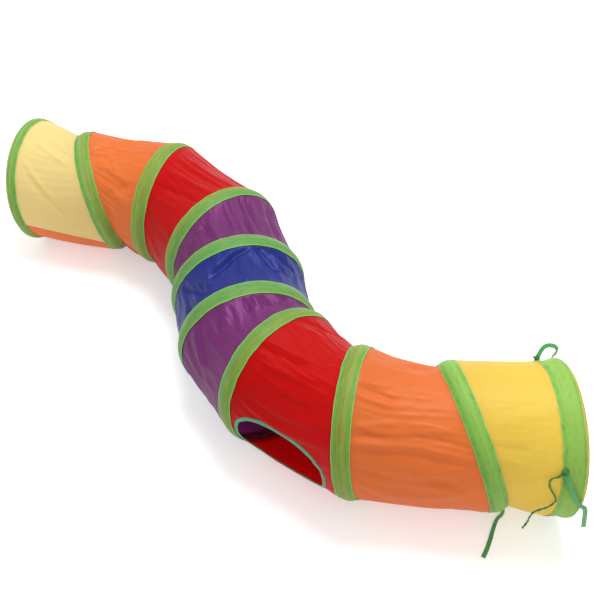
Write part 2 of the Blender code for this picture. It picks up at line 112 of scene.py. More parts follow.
class Shading:
    """The nodes of a material or of the sky."""

    def __init__(self, tree):
        self.tree = tree

    def set(self, node, values):
        for name, value in values.items():
            if isinstance(name, str):
                name = name.replace("_", " ")
                socket = next(s for s in node.inputs if s.enabled and s.name == name)
            else:
                socket = node.inputs[name]
            if isinstance(value, Field):
                self.tree.links.new(value.socket, socket)
            else:
                socket.default_value = value

    def node(self, kind, settings, values):
        """Adds a node: its settings first, then the values or links of its sockets."""
        made = self.tree.nodes.new(kind)
        for name, value in settings.items():
            if name == "stops":
                elements = made.color_ramp.elements
                while len(elements) < len(value):
                    elements.new(0.5)
                for element, (place, colour) in zip(elements, value):
                    element.position = place
                    element.color = colour
            else:
                setattr(made, name, value)
        self.set(made, values)
        return {s.name: Field(self, s) for s in made.outputs if s.enabled}

    def straight_rays(self):
        """1 for what is seen, in or through something else too, and 0 for what lights."""
        rays = self.node("ShaderNodeLightPath", {}, {})
        return rays["Is Camera Ray"] + rays["Is Glossy Ray"] + rays["Is Transmission Ray"]

    def send_out(self, output, share, first, second):
        """Ends the nodes with two shaders, mixed by the second one's share."""
        both = self.node("ShaderNodeMixShader", {}, {"Fac": share, 1: first, 2: second})
        self.set(self.tree.nodes[output], {"Surface": both["Shader"]})


class Finish(Shading):
    """The material of one kind of cloth, tape, ribbon or metal."""

    def __init__(self, name, **surface):
        self.material = bpy.data.materials.new(name)
        self.material.use_nodes = True
        super().__init__(self.material.node_tree)
        self.surface = self.tree.nodes["Principled BSDF"]
        self.set(self.surface, surface)

    def across(self, name):
        """The length across and along a piece, in metres, from its own map."""
        cut = self.node("ShaderNodeUVMap", {"uv_map": name}, {})["UV"]
        parts = self.node("ShaderNodeSeparateXYZ", {}, {"Vector": cut})
        return cut, parts["X"], parts["Y"]

    def marked(self, name, output="Fac"):
        """What the points of a piece are marked with."""
        return self.node("ShaderNodeAttribute", {"attribute_name": name}, {})[output]

    def noise(self, vector, scale, stretch=(1.0, 1.0, 1.0), detail=3.0):
        """Soft cloudy values about 0.5, stretched along the map's ways."""
        drawn = self.node(
            "ShaderNodeVectorMath", {"operation": "MULTIPLY"}, {0: vector, 1: stretch}
        )["Vector"]
        values = {"Vector": drawn, "Scale": scale, "Detail": detail}
        return self.node("ShaderNodeTexNoise", {}, values)["Fac"]

    def mix(self, share, first, second):
        settings = {"data_type": "RGBA"}
        values = {"Factor": share, "A": first, "B": second}
        return self.node("ShaderNodeMix", settings, values)["Result"]

    def let_light_through(self, share, colour):
        """Thin stuff that glows a little with the light behind it."""
        glow = self.node("ShaderNodeBsdfTranslucent", {}, {"Color": colour})["BSDF"]
        body = Field(self, self.surface.outputs["BSDF"])
        self.send_out("Material Output", share, body, glow)

    def bump(self, height, distance):
        values = {"Height": height, "Distance": distance}
        return self.node("ShaderNodeBump", {}, values)["Normal"]


def linear(red, green, blue):
    """A colour as it looks on a screen, from 0 to 255, as a shader's colour."""
    shares = [value / 255 for value in (red, green, blue)]
    return (*(
        s / 12.92 if s < 0.04045 else ((s + 0.055) / 1.055) ** 2.4 for s in shares
    ), 1.0)


def put_in_scene(name, data):
    made = bpy.data.objects.new(name, data)
    scene.collection.objects.link(made)
    return made


def look_down(name, data, at):
    """A camera or a lamp that faces the middle of the tunnel."""
    made = put_in_scene(name, data)
    made.location = at
    made.rotation_euler = (LAID_AT - at).to_track_quat("-Z", "Y").to_euler()
    return made


def write_back(shape, mesh):
    shape.to_mesh(mesh)
    shape.free()
    return mesh


def mesh_from(shape, name):
    return write_back(shape, bpy.data.meshes.new(name))


camera_data = bpy.data.cameras.new("camera")
camera_data.lens = LENS
camera_data.sensor_width = SENSOR_WIDTH
scene.camera = look_down("camera", camera_data, CAMERA_AT)
scene.view_settings.view_transform = "Standard"

key_data = bpy.data.lights.new("key", "AREA")
key_data.shape = "DISK"
key_data.size = KEY_SIZE
key_data.energy = KEY_POWER
look_down("key", key_data, KEY_AT)

world = bpy.data.worlds.new("sky")
world.use_nodes = True
sky = Shading(world.node_tree)
light = world.node_tree.nodes["Background"]
sky.set(light, {"Color": WHITE, "Strength": SKY_LIGHT})
seen = sky.node("ShaderNodeBackground", {}, {"Color": WHITE, "Strength": 1.0})["Background"]
light = Field(sky, light.outputs["Background"])
sky.send_out("World Output", sky.straight_rays(), light, seen)
scene.world = world

floor_shape = bmesh.new()
bmesh.ops.create_grid(floor_shape, x_segments=1, y_segments=1, size=FLOOR_REACH)
floor = put_in_scene("floor", mesh_from(floor_shape, "floor"))
floor_finish = Finish("white_floor", Base_Color=FLOOR_COLOUR, Roughness=0.9)
glow = floor_finish.mix(floor_finish.straight_rays(), (0.0, 0.0, 0.0, 1.0), FLOOR_GLOW)
floor_finish.set(floor_finish.surface, {"Emission Color": glow, "Emission Strength": 1.0})
floor.data.materials.append(floor_finish.material)


# Wire hoops and ferrules
# Ten rings of drawn spring wire, each closed by a ferrule that is crimped over its
# ends. They give every other piece its place, so where each one stands is read here.

HOOPS = 10


def points_of(mesh):
    return np.array([vertex.co for vertex in mesh.vertices])


def hoop_place(number):
    """The middle of a hoop's wire, and the line that it faces along."""
    wire = points_of(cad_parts[f"hoop_wire_{number}"].data)
    middle = wire.mean(axis=0)
    ahead = np.linalg.eigh(np.cov((wire - middle).T))[1][:, 0]
    return middle, ahead


def hoop_frames():
    """Each hoop's middle, with its ways ahead, to the left and up as columns."""
    found = [hoop_place(number) for number in range(1, HOOPS + 1)]
    frames = []
    for i, (middle, ahead) in enumerate(found):
        before, after = found[max(i - 1, 0)][0], found[min(i + 1, HOOPS - 1)][0]
        ahead = ahead * np.sign(ahead @ (after - before))
        left = np.cross((0.0, 0.0, 1.0), ahead)
        left /= np.linalg.norm(left)
        frames.append((middle, np.stack((ahead, left, np.cross(ahead, left)), axis=1)))
    return frames


FRAMES = dict(zip(range(1, HOOPS + 1), hoop_frames()))


def on_hoop(hoop, along, radius, degrees):
    """Points by a hoop: along its axis, out from it, and round from its left by its top."""
    middle, ways = FRAMES[hoop]
    turn = np.radians(degrees)
    local = np.broadcast_arrays(along, radius * np.cos(turn), radius * np.sin(turn))
    return middle + np.stack(local, axis=-1) @ ways.T


wire_finish = Finish("spring_steel", Metallic=1.0, Roughness=0.32)
drawn_lines = wire_finish.node("ShaderNodeTexCoord", {}, {})["Object"]
scratches = wire_finish.noise(drawn_lines, 900.0)
wire_finish.set(wire_finish.surface, {
    "Base Color": wire_finish.mix(scratches, linear(150, 150, 152), linear(205, 205, 208)),
    "Roughness": scratches * 0.25 + 0.2,
})
for number in range(1, HOOPS + 1):
    for piece in (f"hoop_wire_{number}", f"hoop_ferrule_{number}"):
        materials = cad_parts[piece].data.materials
        materials.clear()
        materials.append(wire_finish.material)


# Cloth
# Nine lengths of thin woven polyester, each cut as a tube with oblique ends and sewn
# under the bindings of two hoops. The first four have a strip of the next colour
# below, sewn in edge to edge. They are let hang, so that they sag and wrinkle.

CLOTH_RADIUS = 0.1201
CLOTH_THICKNESS = 0.0004
TAPE_HALF = 0.015
MOUTH_TAPE_INNER = 0.031
LEFT_TAPE_INNER = 0.0135
MOUTH_EDGE = 0.0080
COLLAR_MARGIN = 0.0010
UNDER_TAPE = 0.0020
COLUMNS = 240
ROW_LENGTH = 0.0033
# The lines of taut cloth are sought every two degrees, by halving the angle of a plane
TAUT_STEP = 2.0
STEEPEST_PLANE = 1.3
HALVINGS = 40
STRIPS = 4
STRIP_TOP = 194.5
STRIP_STEP = 5.0
STRIP_BOTTOM = 287.0
# How far the top of each section sags below a straight line, and how loose it is cut
SAGS = {
    1: -0.0040, 2: -0.0020, 3: 0.0, 4: 0.0010, 5: 0.0030, 6: 0.0020, 7: -0.0010,
    8: 0.0050, 9: -0.0020,
}
SLACKS = {
    1: 0.002, 2: 0.005, 3: 0.003, 4: 0.006, 5: 0.012, 6: 0.010, 7: 0.004, 8: 0.010,
    9: 0.002,
}
# How much of each section's fine rucking stays once it has settled
RUCKING = {1: 0.35, 2: 0.7, 3: 0.8, 4: 1.0, 5: 1.0, 6: 1.0, 7: 0.8, 8: 0.65, 9: 0.3}
BELLY = 0.0070
WAIST = 0.0010
FLOOR_CLEARANCE = 0.0003
# From this bend on, in degrees, the inner side of a section has its full folds
FULL_FOLD_TURN = 30.0
FOLD_DEPTH = 0.0030
LEAST_FOLD = 0.35
FOLD_PATCHES = 14.0
FOLD_STRAY = 4.0
UNDERSIDE = -0.8
MOST_MOVE = 0.014
HANG_FRAMES = 24
# How the cloth moves while it settles
HANG = {
    "quality": 6, "mass": 0.01, "tension_stiffness": 15.0, "compression_stiffness": 15.0,
    "shear_stiffness": 5.0, "bending_stiffness": 0.002, "tension_damping": 2.0,
    "compression_damping": 2.0, "shear_damping": 2.0, "air_damping": 1.0,
    "vertex_group_mass": "sewn",
}
# How far round the folds of each section slant, in degrees, and how many there are
FOLDS = {
    1: (-14, 12), 2: (-26, 15), 3: (-30, 12), 4: (12, 20), 5: (18, 18),
    6: (-16, 18), 7: (-22, 13), 8: (10, 14), 9: (-8, 12),
}
# The folds that show most: where each starts and ends, as a share of the way from hoop to
# hoop and an angle round the tunnel, its half width, and its rise from the cloth
CREASES = {
    1: (
        (0.15, 100, 0.90, 118, 0.0055, 0.0016), (0.05, 122, 0.60, 158, 0.0060, 0.0013),
        (0.10, 133, 0.70, 176, 0.0060, -0.0012), (0.40, 100, 1.00, 106, 0.0050, -0.0012),
    ),
    2: (
        (0.00, 97, 0.85, 52, 0.0040, 0.0022), (0.00, 101, 0.85, 66, 0.0036, -0.0022),
        (0.00, 105, 0.75, 80, 0.0040, 0.0024), (0.00, 110, 0.80, 94, 0.0040, -0.0018),
        (0.05, 118, 0.80, 114, 0.0060, 0.0012), (0.15, 148, 0.95, 128, 0.0080, -0.0020),
        (0.05, 86, 0.60, 40, 0.0045, -0.0016),
    ),
    3: (
        (0.05, 103, 1.00, 92, 0.0070, 0.0022), (0.10, 121, 1.00, 106, 0.0065, -0.0026),
        (0.05, 141, 1.00, 146, 0.0090, 0.0020), (0.10, 132, 0.90, 124, 0.0050, 0.0016),
        (0.15, 76, 1.00, 68, 0.0065, 0.0020), (0.05, 90, 1.00, 80, 0.0050, -0.0020),
        (0.30, 60, 1.00, 52, 0.0060, -0.0018),
    ),
    4: (
        (0.00, 73, 1.00, 74, 0.0036, -0.0040), (0.00, 66, 0.95, 64, 0.0034, -0.0036),
        (0.10, 42, 1.00, 45, 0.0040, -0.0034), (0.00, 27, 1.00, 31, 0.0045, -0.0030),
        (0.00, 85, 1.00, 79, 0.0055, 0.0034), (0.00, 50, 0.95, 54, 0.0055, 0.0030),
        (0.20, 110, 1.00, 102, 0.0045, 0.0030), (0.20, 117, 1.00, 109, 0.0040, -0.0026),
        (0.00, 94, 0.90, 90, 0.0045, -0.0022), (0.00, 35, 0.90, 37, 0.0050, 0.0024),
        (0.30, 140, 1.00, 134, 0.0070, -0.0018),
    ),
    5: (
        (0.00, 79, 0.50, 118, 0.0045, -0.0040), (0.00, 87, 0.45, 126, 0.0070, 0.0026),
        (0.00, 75, 0.70, 54, 0.0042, -0.0036), (0.00, 70, 0.40, 33, 0.0040, -0.0030),
        (0.15, 84, 1.00, 88, 0.0085, 0.0032), (0.10, 64, 0.60, 45, 0.0050, 0.0024),
        (0.05, 153, 0.90, 120, 0.0040, -0.0032), (0.05, 145, 0.80, 112, 0.0060, 0.0024),
        (0.50, 150, 1.00, 138, 0.0050, -0.0020),
    ),
    6: (
        (0.00, 95, 0.50, 97, 0.0036, -0.0034), (0.00, 80, 0.55, 79, 0.0036, -0.0034),
        (0.00, 62, 0.60, 57, 0.0040, -0.0032), (0.00, 87, 0.60, 88, 0.0042, 0.0030),
        (0.00, 71, 0.60, 68, 0.0045, 0.0030), (0.00, 108, 0.50, 121, 0.0055, 0.0022),
        (0.00, 116, 0.50, 131, 0.0050, -0.0018), (0.05, 142, 0.70, 172, 0.0080, 0.0018),
    ),
    7: (
        (0.00, 105, 0.60, 99, 0.0045, 0.0020), (0.00, 112, 0.65, 105, 0.0045, -0.0018),
        (0.00, 71, 0.55, 52, 0.0055, -0.0020), (0.00, 81, 0.60, 66, 0.0055, 0.0016),
        (0.05, 125, 0.90, 106, 0.0080, 0.0014), (0.45, 92, 1.00, 84, 0.0060, -0.0014),
        (0.30, 140, 1.00, 124, 0.0080, -0.0012),
    ),
    8: (
        (0.00, 101, 0.45, 104, 0.0036, -0.0032), (0.00, 108, 0.40, 111, 0.0040, 0.0020),
        (0.00, 94, 0.30, 97, 0.0036, 0.0018), (0.00, 138, 0.65, 129, 0.0042, -0.0026),
        (0.00, 131, 0.45, 120, 0.0050, 0.0018), (0.00, 151, 0.80, 140, 0.0060, -0.0022),
        (0.00, 144, 0.70, 135, 0.0045, 0.0020), (0.60, 139, 1.00, 140, 0.0040, 0.0024),
        (0.50, 146, 1.00, 147, 0.0040, -0.0022), (0.40, 128, 1.00, 131, 0.0040, -0.0020),
        (0.05, 164, 0.95, 167, 0.0070, -0.0020), (0.20, 172, 0.95, 175, 0.0060, 0.0016),
        (0.00, 78, 0.40, 74, 0.0120, 0.0030), (0.45, 62, 0.95, 56, 0.0120, -0.0035),
    ),
    9: (
        (0.00, 135, 0.60, 138, 0.0045, -0.0018), (0.00, 144, 0.50, 149, 0.0050, 0.0018),
        (0.05, 119, 0.90, 110, 0.0080, 0.0009), (0.20, 186, 0.80, 150, 0.0070, -0.0012),
        (0.10, 95, 0.90, 90, 0.0060, -0.0008),
    ),
}
# The share of its length over which a fold fades at its ends, and that it runs on past them
CREASE_ENDS = 0.22
CREASE_PAST = 0.2
# How deep each section's folds are pressed, as a share of the rises above
CREASE_DEPTH = {1: 1.0, 2: 1.2, 3: 1.5, 4: 1.6, 5: 1.5, 6: 1.5, 7: 1.4, 8: 1.2, 9: 1.0}
# How strong and how sharp the cloth's gloss is. The deep colours have one of their own hue,
# and show their fine creases more.
PLAIN_GLOSS = (0.34, 0.31)
GLOSS = {"purple_cloth": (1.0, 0.33), "blue_cloth": (0.8, 0.27), "red_cloth": PLAIN_GLOSS}
GLOSS_TINT = 0.35
CREASE_SHOWS = 0.22
CREASE_SHOWS_IN_GLOSS = 0.34
SEAM_HOLD = 0.0055
SEAM_FADE = 0.006
WEAVE_TURNS = 2 * math.pi / 0.0012
THROUGH = 0.48

COLOURS = {
    "pale_yellow": linear(242, 226, 156),
    "orange": linear(240, 137, 64),
    "red": linear(212, 16, 16),
    "purple": linear(126, 42, 118),
    "blue": linear(36, 50, 146),
    "yellow": linear(243, 216, 92),
}
CLOTHS = dict(enumerate((
    "pale_yellow", "orange", "red", "purple", "blue", "purple", "red", "orange", "yellow",
), 1))


def seam_angles(section):
    """The top seam of a section's strip at its two hoops, and the bottom seam."""
    top = STRIP_TOP + STRIP_STEP * section
    return top - STRIP_STEP, top, STRIP_BOTTOM


def collar_reach(section):
    """How far the cloth lies straight, past its first hoop and short of its second."""
    ahead = LEFT_TAPE_INNER if section == 1 else TAPE_HALF
    back = MOUTH_TAPE_INNER if section == HOOPS - 1 else TAPE_HALF
    return ahead + COLLAR_MARGIN, back + COLLAR_MARGIN


def facing(section):
    """The ways that the two hoops of a section face."""
    return [FRAMES[hoop][1][:, 0] for hoop in (section, section + 1)]


def at_collars(section, radius=0.0, at_first=0.0, at_second=0.0):
    """Points where the cloth leaves its straight collars: out to a radius, at angles."""
    ahead, back = collar_reach(section)
    first = on_hoop(section, ahead, radius, at_first)
    return first, on_hoop(section + 1, -back, radius, at_second)


def unit(rows):
    return rows / np.linalg.norm(rows, axis=1)[:, None]


def taut_lines(section):
    """The angles at its two hoops that taut cloth joins by straight lines: those where one
    plane touches both rings."""
    first, second = at_collars(section)
    between = second - first
    axis = between / np.linalg.norm(between)
    across = np.cross(axis, (0.0, 0.0, 1.0))
    across /= np.linalg.norm(across)
    turn = np.radians(np.arange(0.0, 360.0, TAUT_STEP))[:, None]
    around = across * np.cos(turn) + np.cross(across, axis) * np.sin(turn)
    low, high = (np.full(len(turn), sign * STEEPEST_PLANE) for sign in (-1, 1))
    flat = [np.eye(3) - np.outer(way, way) for way in facing(section)]
    for _ in range(HALVINGS):
        tilt = (low + high) / 2
        touching = around * np.cos(tilt)[:, None] + axis * np.sin(tilt)[:, None]
        reach = [np.linalg.norm(touching @ plane, axis=1) * CLOTH_RADIUS for plane in flat]
        beyond = touching @ between + reach[1] - reach[0] > 0
        high, low = np.where(beyond, tilt, high), np.where(beyond, low, tilt)
    angles = []
    for hoop, plane in zip((section, section + 1), flat):
        local = touching @ plane @ FRAMES[hoop][1]
        angles.append(np.unwrap(np.arctan2(local[:, 2], local[:, 1])))
    angles = np.degrees(angles)
    angles[1] += 360 * np.round((angles[0] - angles[1]).mean() / 360)
    if angles[0, 0] > angles[0, -1]:
        angles = angles[:, ::-1]
    return np.concatenate([angles + 360 * lap for lap in range(-3, 4)], axis=1)


TAUT_LINES = {section: taut_lines(section) for section in CLOTHS}


def taut_angles(section, share, degrees):
    """The angles at both hoops of the taut line that passes through each place."""
    at_first, at_second = TAUT_LINES[section]
    found = np.empty((2, len(share)))
    for value in np.unique(share):
        here = share == value
        passes = at_first * (1 - value) + at_second * value
        found[0, here] = np.interp(degrees[here], passes, at_first)
        found[1, here] = np.interp(degrees[here], passes, at_second)
    return found


def straight_cloth(section, share, degrees):
    """Points on the taut lines of a section, with their ways out and the lines' lengths."""
    first, second = at_collars(section, CLOTH_RADIUS, *taut_angles(section, share, degrees))
    first_middle, second_middle = at_collars(section)
    share = share[:, None]
    out = unit((first - first_middle) * (1 - share) + (second - second_middle) * share)
    return first + (second - first) * share, out, np.linalg.norm(second - first, axis=1)


def above_floor(points):
    points[:, 2] = np.maximum(points[:, 2], FLOOR_CLEARANCE)
    return points


def inner_share(section, degrees):
    """How much of a bend's folds lies at an angle round the tunnel: 0 to 1."""
    turn = math.degrees(np.cross(*facing(section))[2])
    inner = 0.0 if turn > 0 else 180.0
    near = (1 + np.cos(np.radians(degrees - inner))) / 2
    return min(1.0, abs(turn) / FULL_FOLD_TURN) * near ** 1.5


def hung_cloth(section, share, degrees):
    """The cloth's plain hanging form: drawn in, sagging above and let down below."""
    points, out, _ = straight_cloth(section, share, degrees)
    bump = 4 * share * (1 - share)
    up, down = np.maximum(0.0, out[:, 2]), np.maximum(0.0, -out[:, 2])
    points = points - out * (bump * WAIST * (1 - down))[:, None]
    points[:, 2] -= bump * (SAGS[section] * up ** 2 + BELLY * down ** 2)
    return above_floor(points)


def strip_share(section):
    """How much of the way round a strip takes, in whole columns of the grid."""
    first, second, bottom = seam_angles(section)
    return round((bottom - (first + second) / 2) / 360 * COLUMNS) / COLUMNS


def round_to_degrees(section, round_share, along_share):
    """Angles round the tunnel, with two of the grid's lines on the strip's seams."""
    first, second, bottom = seam_angles(section)
    if section > STRIPS:
        return 360.0 * round_share + bottom
    top = first + (second - first) * along_share
    rest = 1 - strip_share(section)
    main = bottom + (360 - bottom + top) * round_share / rest
    strip = 360 + top + (bottom - top) * (round_share - rest) / strip_share(section)
    return np.where(round_share < rest + 1e-9, main, strip)


def fold_seed(section, share, degrees, points):
    """Small uneven ridges that slant from hoop to hoop, from which the folds grow."""
    slant, count = FOLDS[section]
    uneven = np.array([
        noise.noise(Vector(point) * FOLD_PATCHES + Vector((0.0, 0.0, section)))
        for point in points
    ])
    phase = np.radians(count * (degrees + slant * share)) + FOLD_STRAY * uneven
    return np.sin(phase) * 4 * share * (1 - share)


def flat_grid(columns, rows, width, length):
    """A flat grid of one metre square, with its map in the metres of the real piece."""
    shape = bmesh.new()
    cut = shape.loops.layers.uv.new("cut")
    bmesh.ops.create_grid(
        shape, x_segments=columns, y_segments=rows, size=0.5, calc_uvs=True
    )
    for face in shape.faces:
        for loop in face.loops:
            loop[cut].uv.x *= width
            loop[cut].uv.y *= length
    return shape


def rolled_grid(name, columns, rows, around, length):
    """A flat grid rolled into a tube, with its map round and along it in metres."""
    shape = flat_grid(columns, rows, around, length)
    round_layer = shape.verts.layers.float.new("round_share")
    row_layer = shape.verts.layers.float.new("row")
    for vertex in shape.verts:
        vertex[round_layer] = vertex.co.x + 0.5
        vertex[row_layer] = (vertex.co.y + 0.5) * rows
        turn = 2 * math.pi * vertex[round_layer]
        vertex.co = (math.cos(turn), math.sin(turn), vertex.co.y)
    bmesh.ops.remove_doubles(shape, verts=shape.verts, dist=1e-5)
    return mesh_from(shape, name)


def place(mesh, points):
    mesh.vertices.foreach_set("co", np.asarray(points, np.float32).ravel())
    mesh.update()


def cloth_tube(section):
    """The cloth of a section as a rolled grid, with a row more under each binding."""
    around = np.arange(0.0, 360.0, TAUT_STEP)
    length = straight_cloth(section, np.zeros(len(around)), around)[2].mean()
    rows = round(length / ROW_LENGTH)
    name = f"cloth_{section}"
    mesh = rolled_grid(name, COLUMNS, rows + 2, 2 * math.pi * CLOTH_RADIUS, length)
    return put_in_scene(name, mesh), rows


def values_of(mesh, name):
    values = np.empty(len(mesh.vertices), np.float32)
    mesh.attributes[name].data.foreach_get("value", values)
    return values.astype(float)


def mark(mesh, name, values):
    """Keeps a value for each point of a mesh, for its material to read."""
    marks = mesh.attributes.new(name, "FLOAT", "POINT")
    marks.data.foreach_set("value", values.astype(np.float32))


def places_on(mesh, section, rows):
    """Where the points of a tube lie: row, share of the way between the collars, angle."""
    row = np.rint(values_of(mesh, "row"))
    share = np.clip((row - 1) / rows, 0, 1)
    return row, share, round_to_degrees(section, values_of(mesh, "round_share"), share)


def prepare_to_hang(tube, section, rows):
    """Puts a tube between its hoops, a little too large, ready to settle into folds."""
    row, share, degrees = places_on(tube.data, section, rows)
    hung = hung_cloth(section, share, degrees)
    first_edge = -MOUTH_EDGE if section == 1 else UNDER_TAPE
    last_edge = MOUTH_EDGE if section == HOOPS - 1 else -UNDER_TAPE
    for hoop, edge, here in (
        (section, first_edge, row == 0), (section + 1, last_edge, row == rows + 2)
    ):
        hung[here] = on_hoop(hoop, edge, CLOTH_RADIUS, degrees[here])
    sewn = (row < 2) | (row > rows)
    ridges = fold_seed(section, share, degrees, hung)
    least = LEAST_FOLD * SLACKS[section] / max(SLACKS.values())
    depth = FOLD_DEPTH * (least + (1 - LEAST_FOLD) * inner_share(section, degrees))
    out = straight_cloth(section, share, degrees)[1]
    rise = ridges * depth * ~sewn * (out[:, 2] > UNDERSIDE)
    place(tube.data, hung + out * rise[:, None])
    group = tube.vertex_groups.new(name="sewn")
    group.add([int(i) for i in np.flatnonzero(sewn)], 1.0, "REPLACE")
    cloth = tube.modifiers.new("hang", "CLOTH")
    for name, value in HANG.items():
        setattr(cloth.settings, name, value)
    cloth.settings.shrink_min = cloth.settings.shrink_max = -SLACKS[section]
    cloth.collision_settings.use_collision = False
    cloth.point_cache.frame_start = 1
    cloth.point_cache.frame_end = HANG_FRAMES
    return hung


def turned_from(angle, degrees):
    """How far angles lie round from another one, from -180 to 180."""
    return (degrees - angle + 180) % 360 - 180


def along_crease(share, degrees, length, crease):
    """How far along a crease points lie, from 0 to 1, and how far beside it in metres."""
    first_share, first_angle, last_share, last_angle = crease[:4]
    turned = np.radians(turned_from(first_angle, degrees))
    x, y = (share - first_share) * length, turned * CLOTH_RADIUS
    run = (last_share - first_share) * length
    rise = math.radians(last_angle - first_angle) * CLOTH_RADIUS
    total = run ** 2 + rise ** 2
    return (x * run + y * rise) / total, np.abs(x * rise - y * run) / np.sqrt(total)


def press_creases(mesh, section, rows):
    """Presses the folds that show most into the settled cloth."""
    _, share, degrees = places_on(mesh, section, rows)
    _, out, length = straight_cloth(section, share, degrees)
    rise = np.zeros(len(share))
    for crease in CREASES[section]:
        first_share, _, last_share, _, half_width, height = crease
        place_on, beside_it = along_crease(share, degrees, length.mean(), crease)
        starts = 1.0 if first_share == 0 else np.clip(place_on / CREASE_ENDS, 0, 1)
        ends = 1.0 if last_share == 1 else np.clip((1 - place_on) / CREASE_ENDS, 0, 1)
        within = (place_on > -CREASE_PAST) & (place_on < 1 + CREASE_PAST)
        rise += height * np.exp(-(beside_it / half_width) ** 2) * starts * ends * within
    away = np.minimum(share, 1 - share) * length
    rise *= CREASE_DEPTH[section] * (1 - np.exp(-away / SEAM_HOLD))
    place(mesh, above_floor(points_of(mesh) + out * rise[:, None]))


def settled_mesh(tube, hung, section):
    """The cloth as it has settled, held near its plain hung form."""
    graph = bpy.context.evaluated_depsgraph_get()
    mesh = bpy.data.meshes.new_from_object(
        tube.evaluated_get(graph), preserve_all_data_layers=True, depsgraph=graph
    )
    mesh.name = f"settled_{section}"
    move = (points_of(mesh) - hung) * RUCKING[section]
    far = np.linalg.norm(move, axis=1)
    place(mesh, hung + move * (np.minimum(far, MOST_MOVE) / np.maximum(far, 1e-9))[:, None])
    return mesh


def mark_seams(mesh, section, rows):
    """Marks how near each point is to a sewn line: 1 on it, fading in a few millimetres."""
    _, share, degrees = places_on(mesh, section, rows)
    away = np.minimum(share, 1 - share) * straight_cloth(section, share, degrees)[2]
    if section <= STRIPS:
        first, second, bottom = seam_angles(section)
        for seam in (first + (second - first) * share, bottom):
            turned = np.abs(np.radians(turned_from(seam, degrees)))
            away = np.minimum(away, turned * CLOTH_RADIUS)
    mark(mesh, "near_seam", np.exp(-away / SEAM_FADE))


def shape_of(mesh):
    shape = bmesh.new()
    shape.from_mesh(mesh)
    return shape


def keep_part(mesh, name, section, strip):
    """A copy of the cloth with the strip alone, or with all but the strip."""
    part = mesh.copy()
    part.name = name
    rest = 1 - strip_share(section)
    width = 2 * math.pi * CLOTH_RADIUS
    shape = shape_of(part)
    cut = shape.loops.layers.uv["cut"]
    gone = []
    for face in shape.faces:
        across = sum(loop[cut].uv.x for loop in face.loops) / len(face.loops)
        if (across / width > rest) != strip:
            gone.append(face)
    bmesh.ops.delete(shape, geom=gone, context="FACES")
    return write_back(shape, part)


def cloth_finish(name, colour):
    """Thin shiny polyester: a fine uneven weave, soft creases, and light coming through."""
    gloss, least_roughness = GLOSS.get(name, PLAIN_GLOSS)
    finish = Finish(
        name, Roughness=0.36, Specular_IOR_Level=gloss, Sheen_Weight=0.03,
        Sheen_Roughness=0.4,
    )
    if name in GLOSS:
        tint = [(value / max(colour[:3])) ** GLOSS_TINT for value in colour[:3]]
        finish.set(finish.surface, {"Specular Tint": (*tint, 1.0)})
    cut, around, along = finish.across("cut")
    weave = (around * WEAVE_TURNS).sine() * (along * WEAVE_TURNS).sine()
    slubs = finish.noise(cut, 1.0, (25.0, 520.0, 1.0))
    slubs = slubs + finish.noise(cut, 1.0, (520.0, 25.0, 1.0))
    clouds = finish.noise(cut, 14.0, detail=2.0)
    seam = finish.marked("near_seam")
    puckers = finish.noise(cut, 1.0, (95.0, 14.0, 1.0), 2.0)
    creases = finish.noise(cut, 1.0, (34.0, 60.0, 1.0), 4.0)
    shade = slubs * 0.42 + clouds * 0.35 + weave * 0.05 - seam * 0.22
    dark = (*(value * 0.84 for value in colour[:3]), 1.0)
    light = (*(min(1.0, value * 1.13 + 0.006) for value in colour[:3]), 1.0)
    height = puckers * (seam * 0.9 + 0.14) + slubs * 0.035 + weave * 0.02
    height = height + creases * (CREASE_SHOWS_IN_GLOSS if name in GLOSS else CREASE_SHOWS)
    finish.set(finish.surface, {
        "Base Color": finish.mix(shade, dark, light),
        "Roughness": clouds * 0.16 + least_roughness,
        "Normal": finish.bump(height, 0.0016),
    })
    finish.let_light_through(THROUGH, (*(value ** 0.5 for value in colour[:3]), 1.0))
    return finish.material


CLOTH_FINISHES = {
    colour: cloth_finish(f"{colour}_cloth", tone) for colour, tone in COLOURS.items()
}


def cut_size(section, low, high):
    """The flat size of the cloth between two angles: its width, longest length and area."""
    degrees = np.linspace(low, high, 181)
    lengths = straight_cloth(section, np.zeros(len(degrees)), degrees)[2]
    lengths += sum(collar_reach(section)) - 2 * COLLAR_MARGIN
    width = math.radians(high - low) * CLOTH_RADIUS
    return width, lengths.max(), width * lengths.mean()


def bend_line(section):
    """Where cloth leaves its section's two hoops, along the mean of the ways they face."""
    start = on_hoop(section, UNDER_TAPE, 0.0, 0.0)
    end = on_hoop(section + 1, -UNDER_TAPE, 0.0, 0.0)
    way = sum(facing(section))
    way /= np.linalg.norm(way)
    return start, start + way * ((end - start) @ way)


def smooth_piece(name, mesh, material):
    mesh.materials.append(material)
    mesh.shade_smooth()
    return put_in_scene(name, mesh)


def thicken(piece, thickness, offset=-1.0):
    wall = piece.modifiers.new("wall", "SOLIDIFY")
    wall.thickness = thickness
    wall.offset = offset


def blend_over(piece, section):
    """Finds where the piece leaves its section's hoops, and bakes its placement into its
    mesh.
    """
    start, end = bend_line(section)
    f"hoop_{section + 1}"
    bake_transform(piece)


def finish_cloth(mesh, section, node, colour, low, high):
    """Gives a length of cloth its finish, a finer mesh and its thickness, hides the part
    that it stands for, and works out its cut size.
    """
    piece = smooth_piece(node.replace("section", "cloth"), mesh, CLOTH_FINISHES[colour])
    finer = piece.modifiers.new("finer", "SUBSURF")
    finer.levels = finer.render_levels = 1
    thicken(piece, CLOTH_THICKNESS, 0.0)
    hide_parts(node)
    blend_over(piece, section)
    width, length, area = cut_size(section, low, high)
    f"hoop_wire_{section + 1}"


tubes = {}
for section in CLOTHS:
    tube, rows = cloth_tube(section)
    tubes[section] = tube, rows, prepare_to_hang(tube, section, rows)
for step in range(1, HANG_FRAMES + 1):
    scene.frame_set(step)

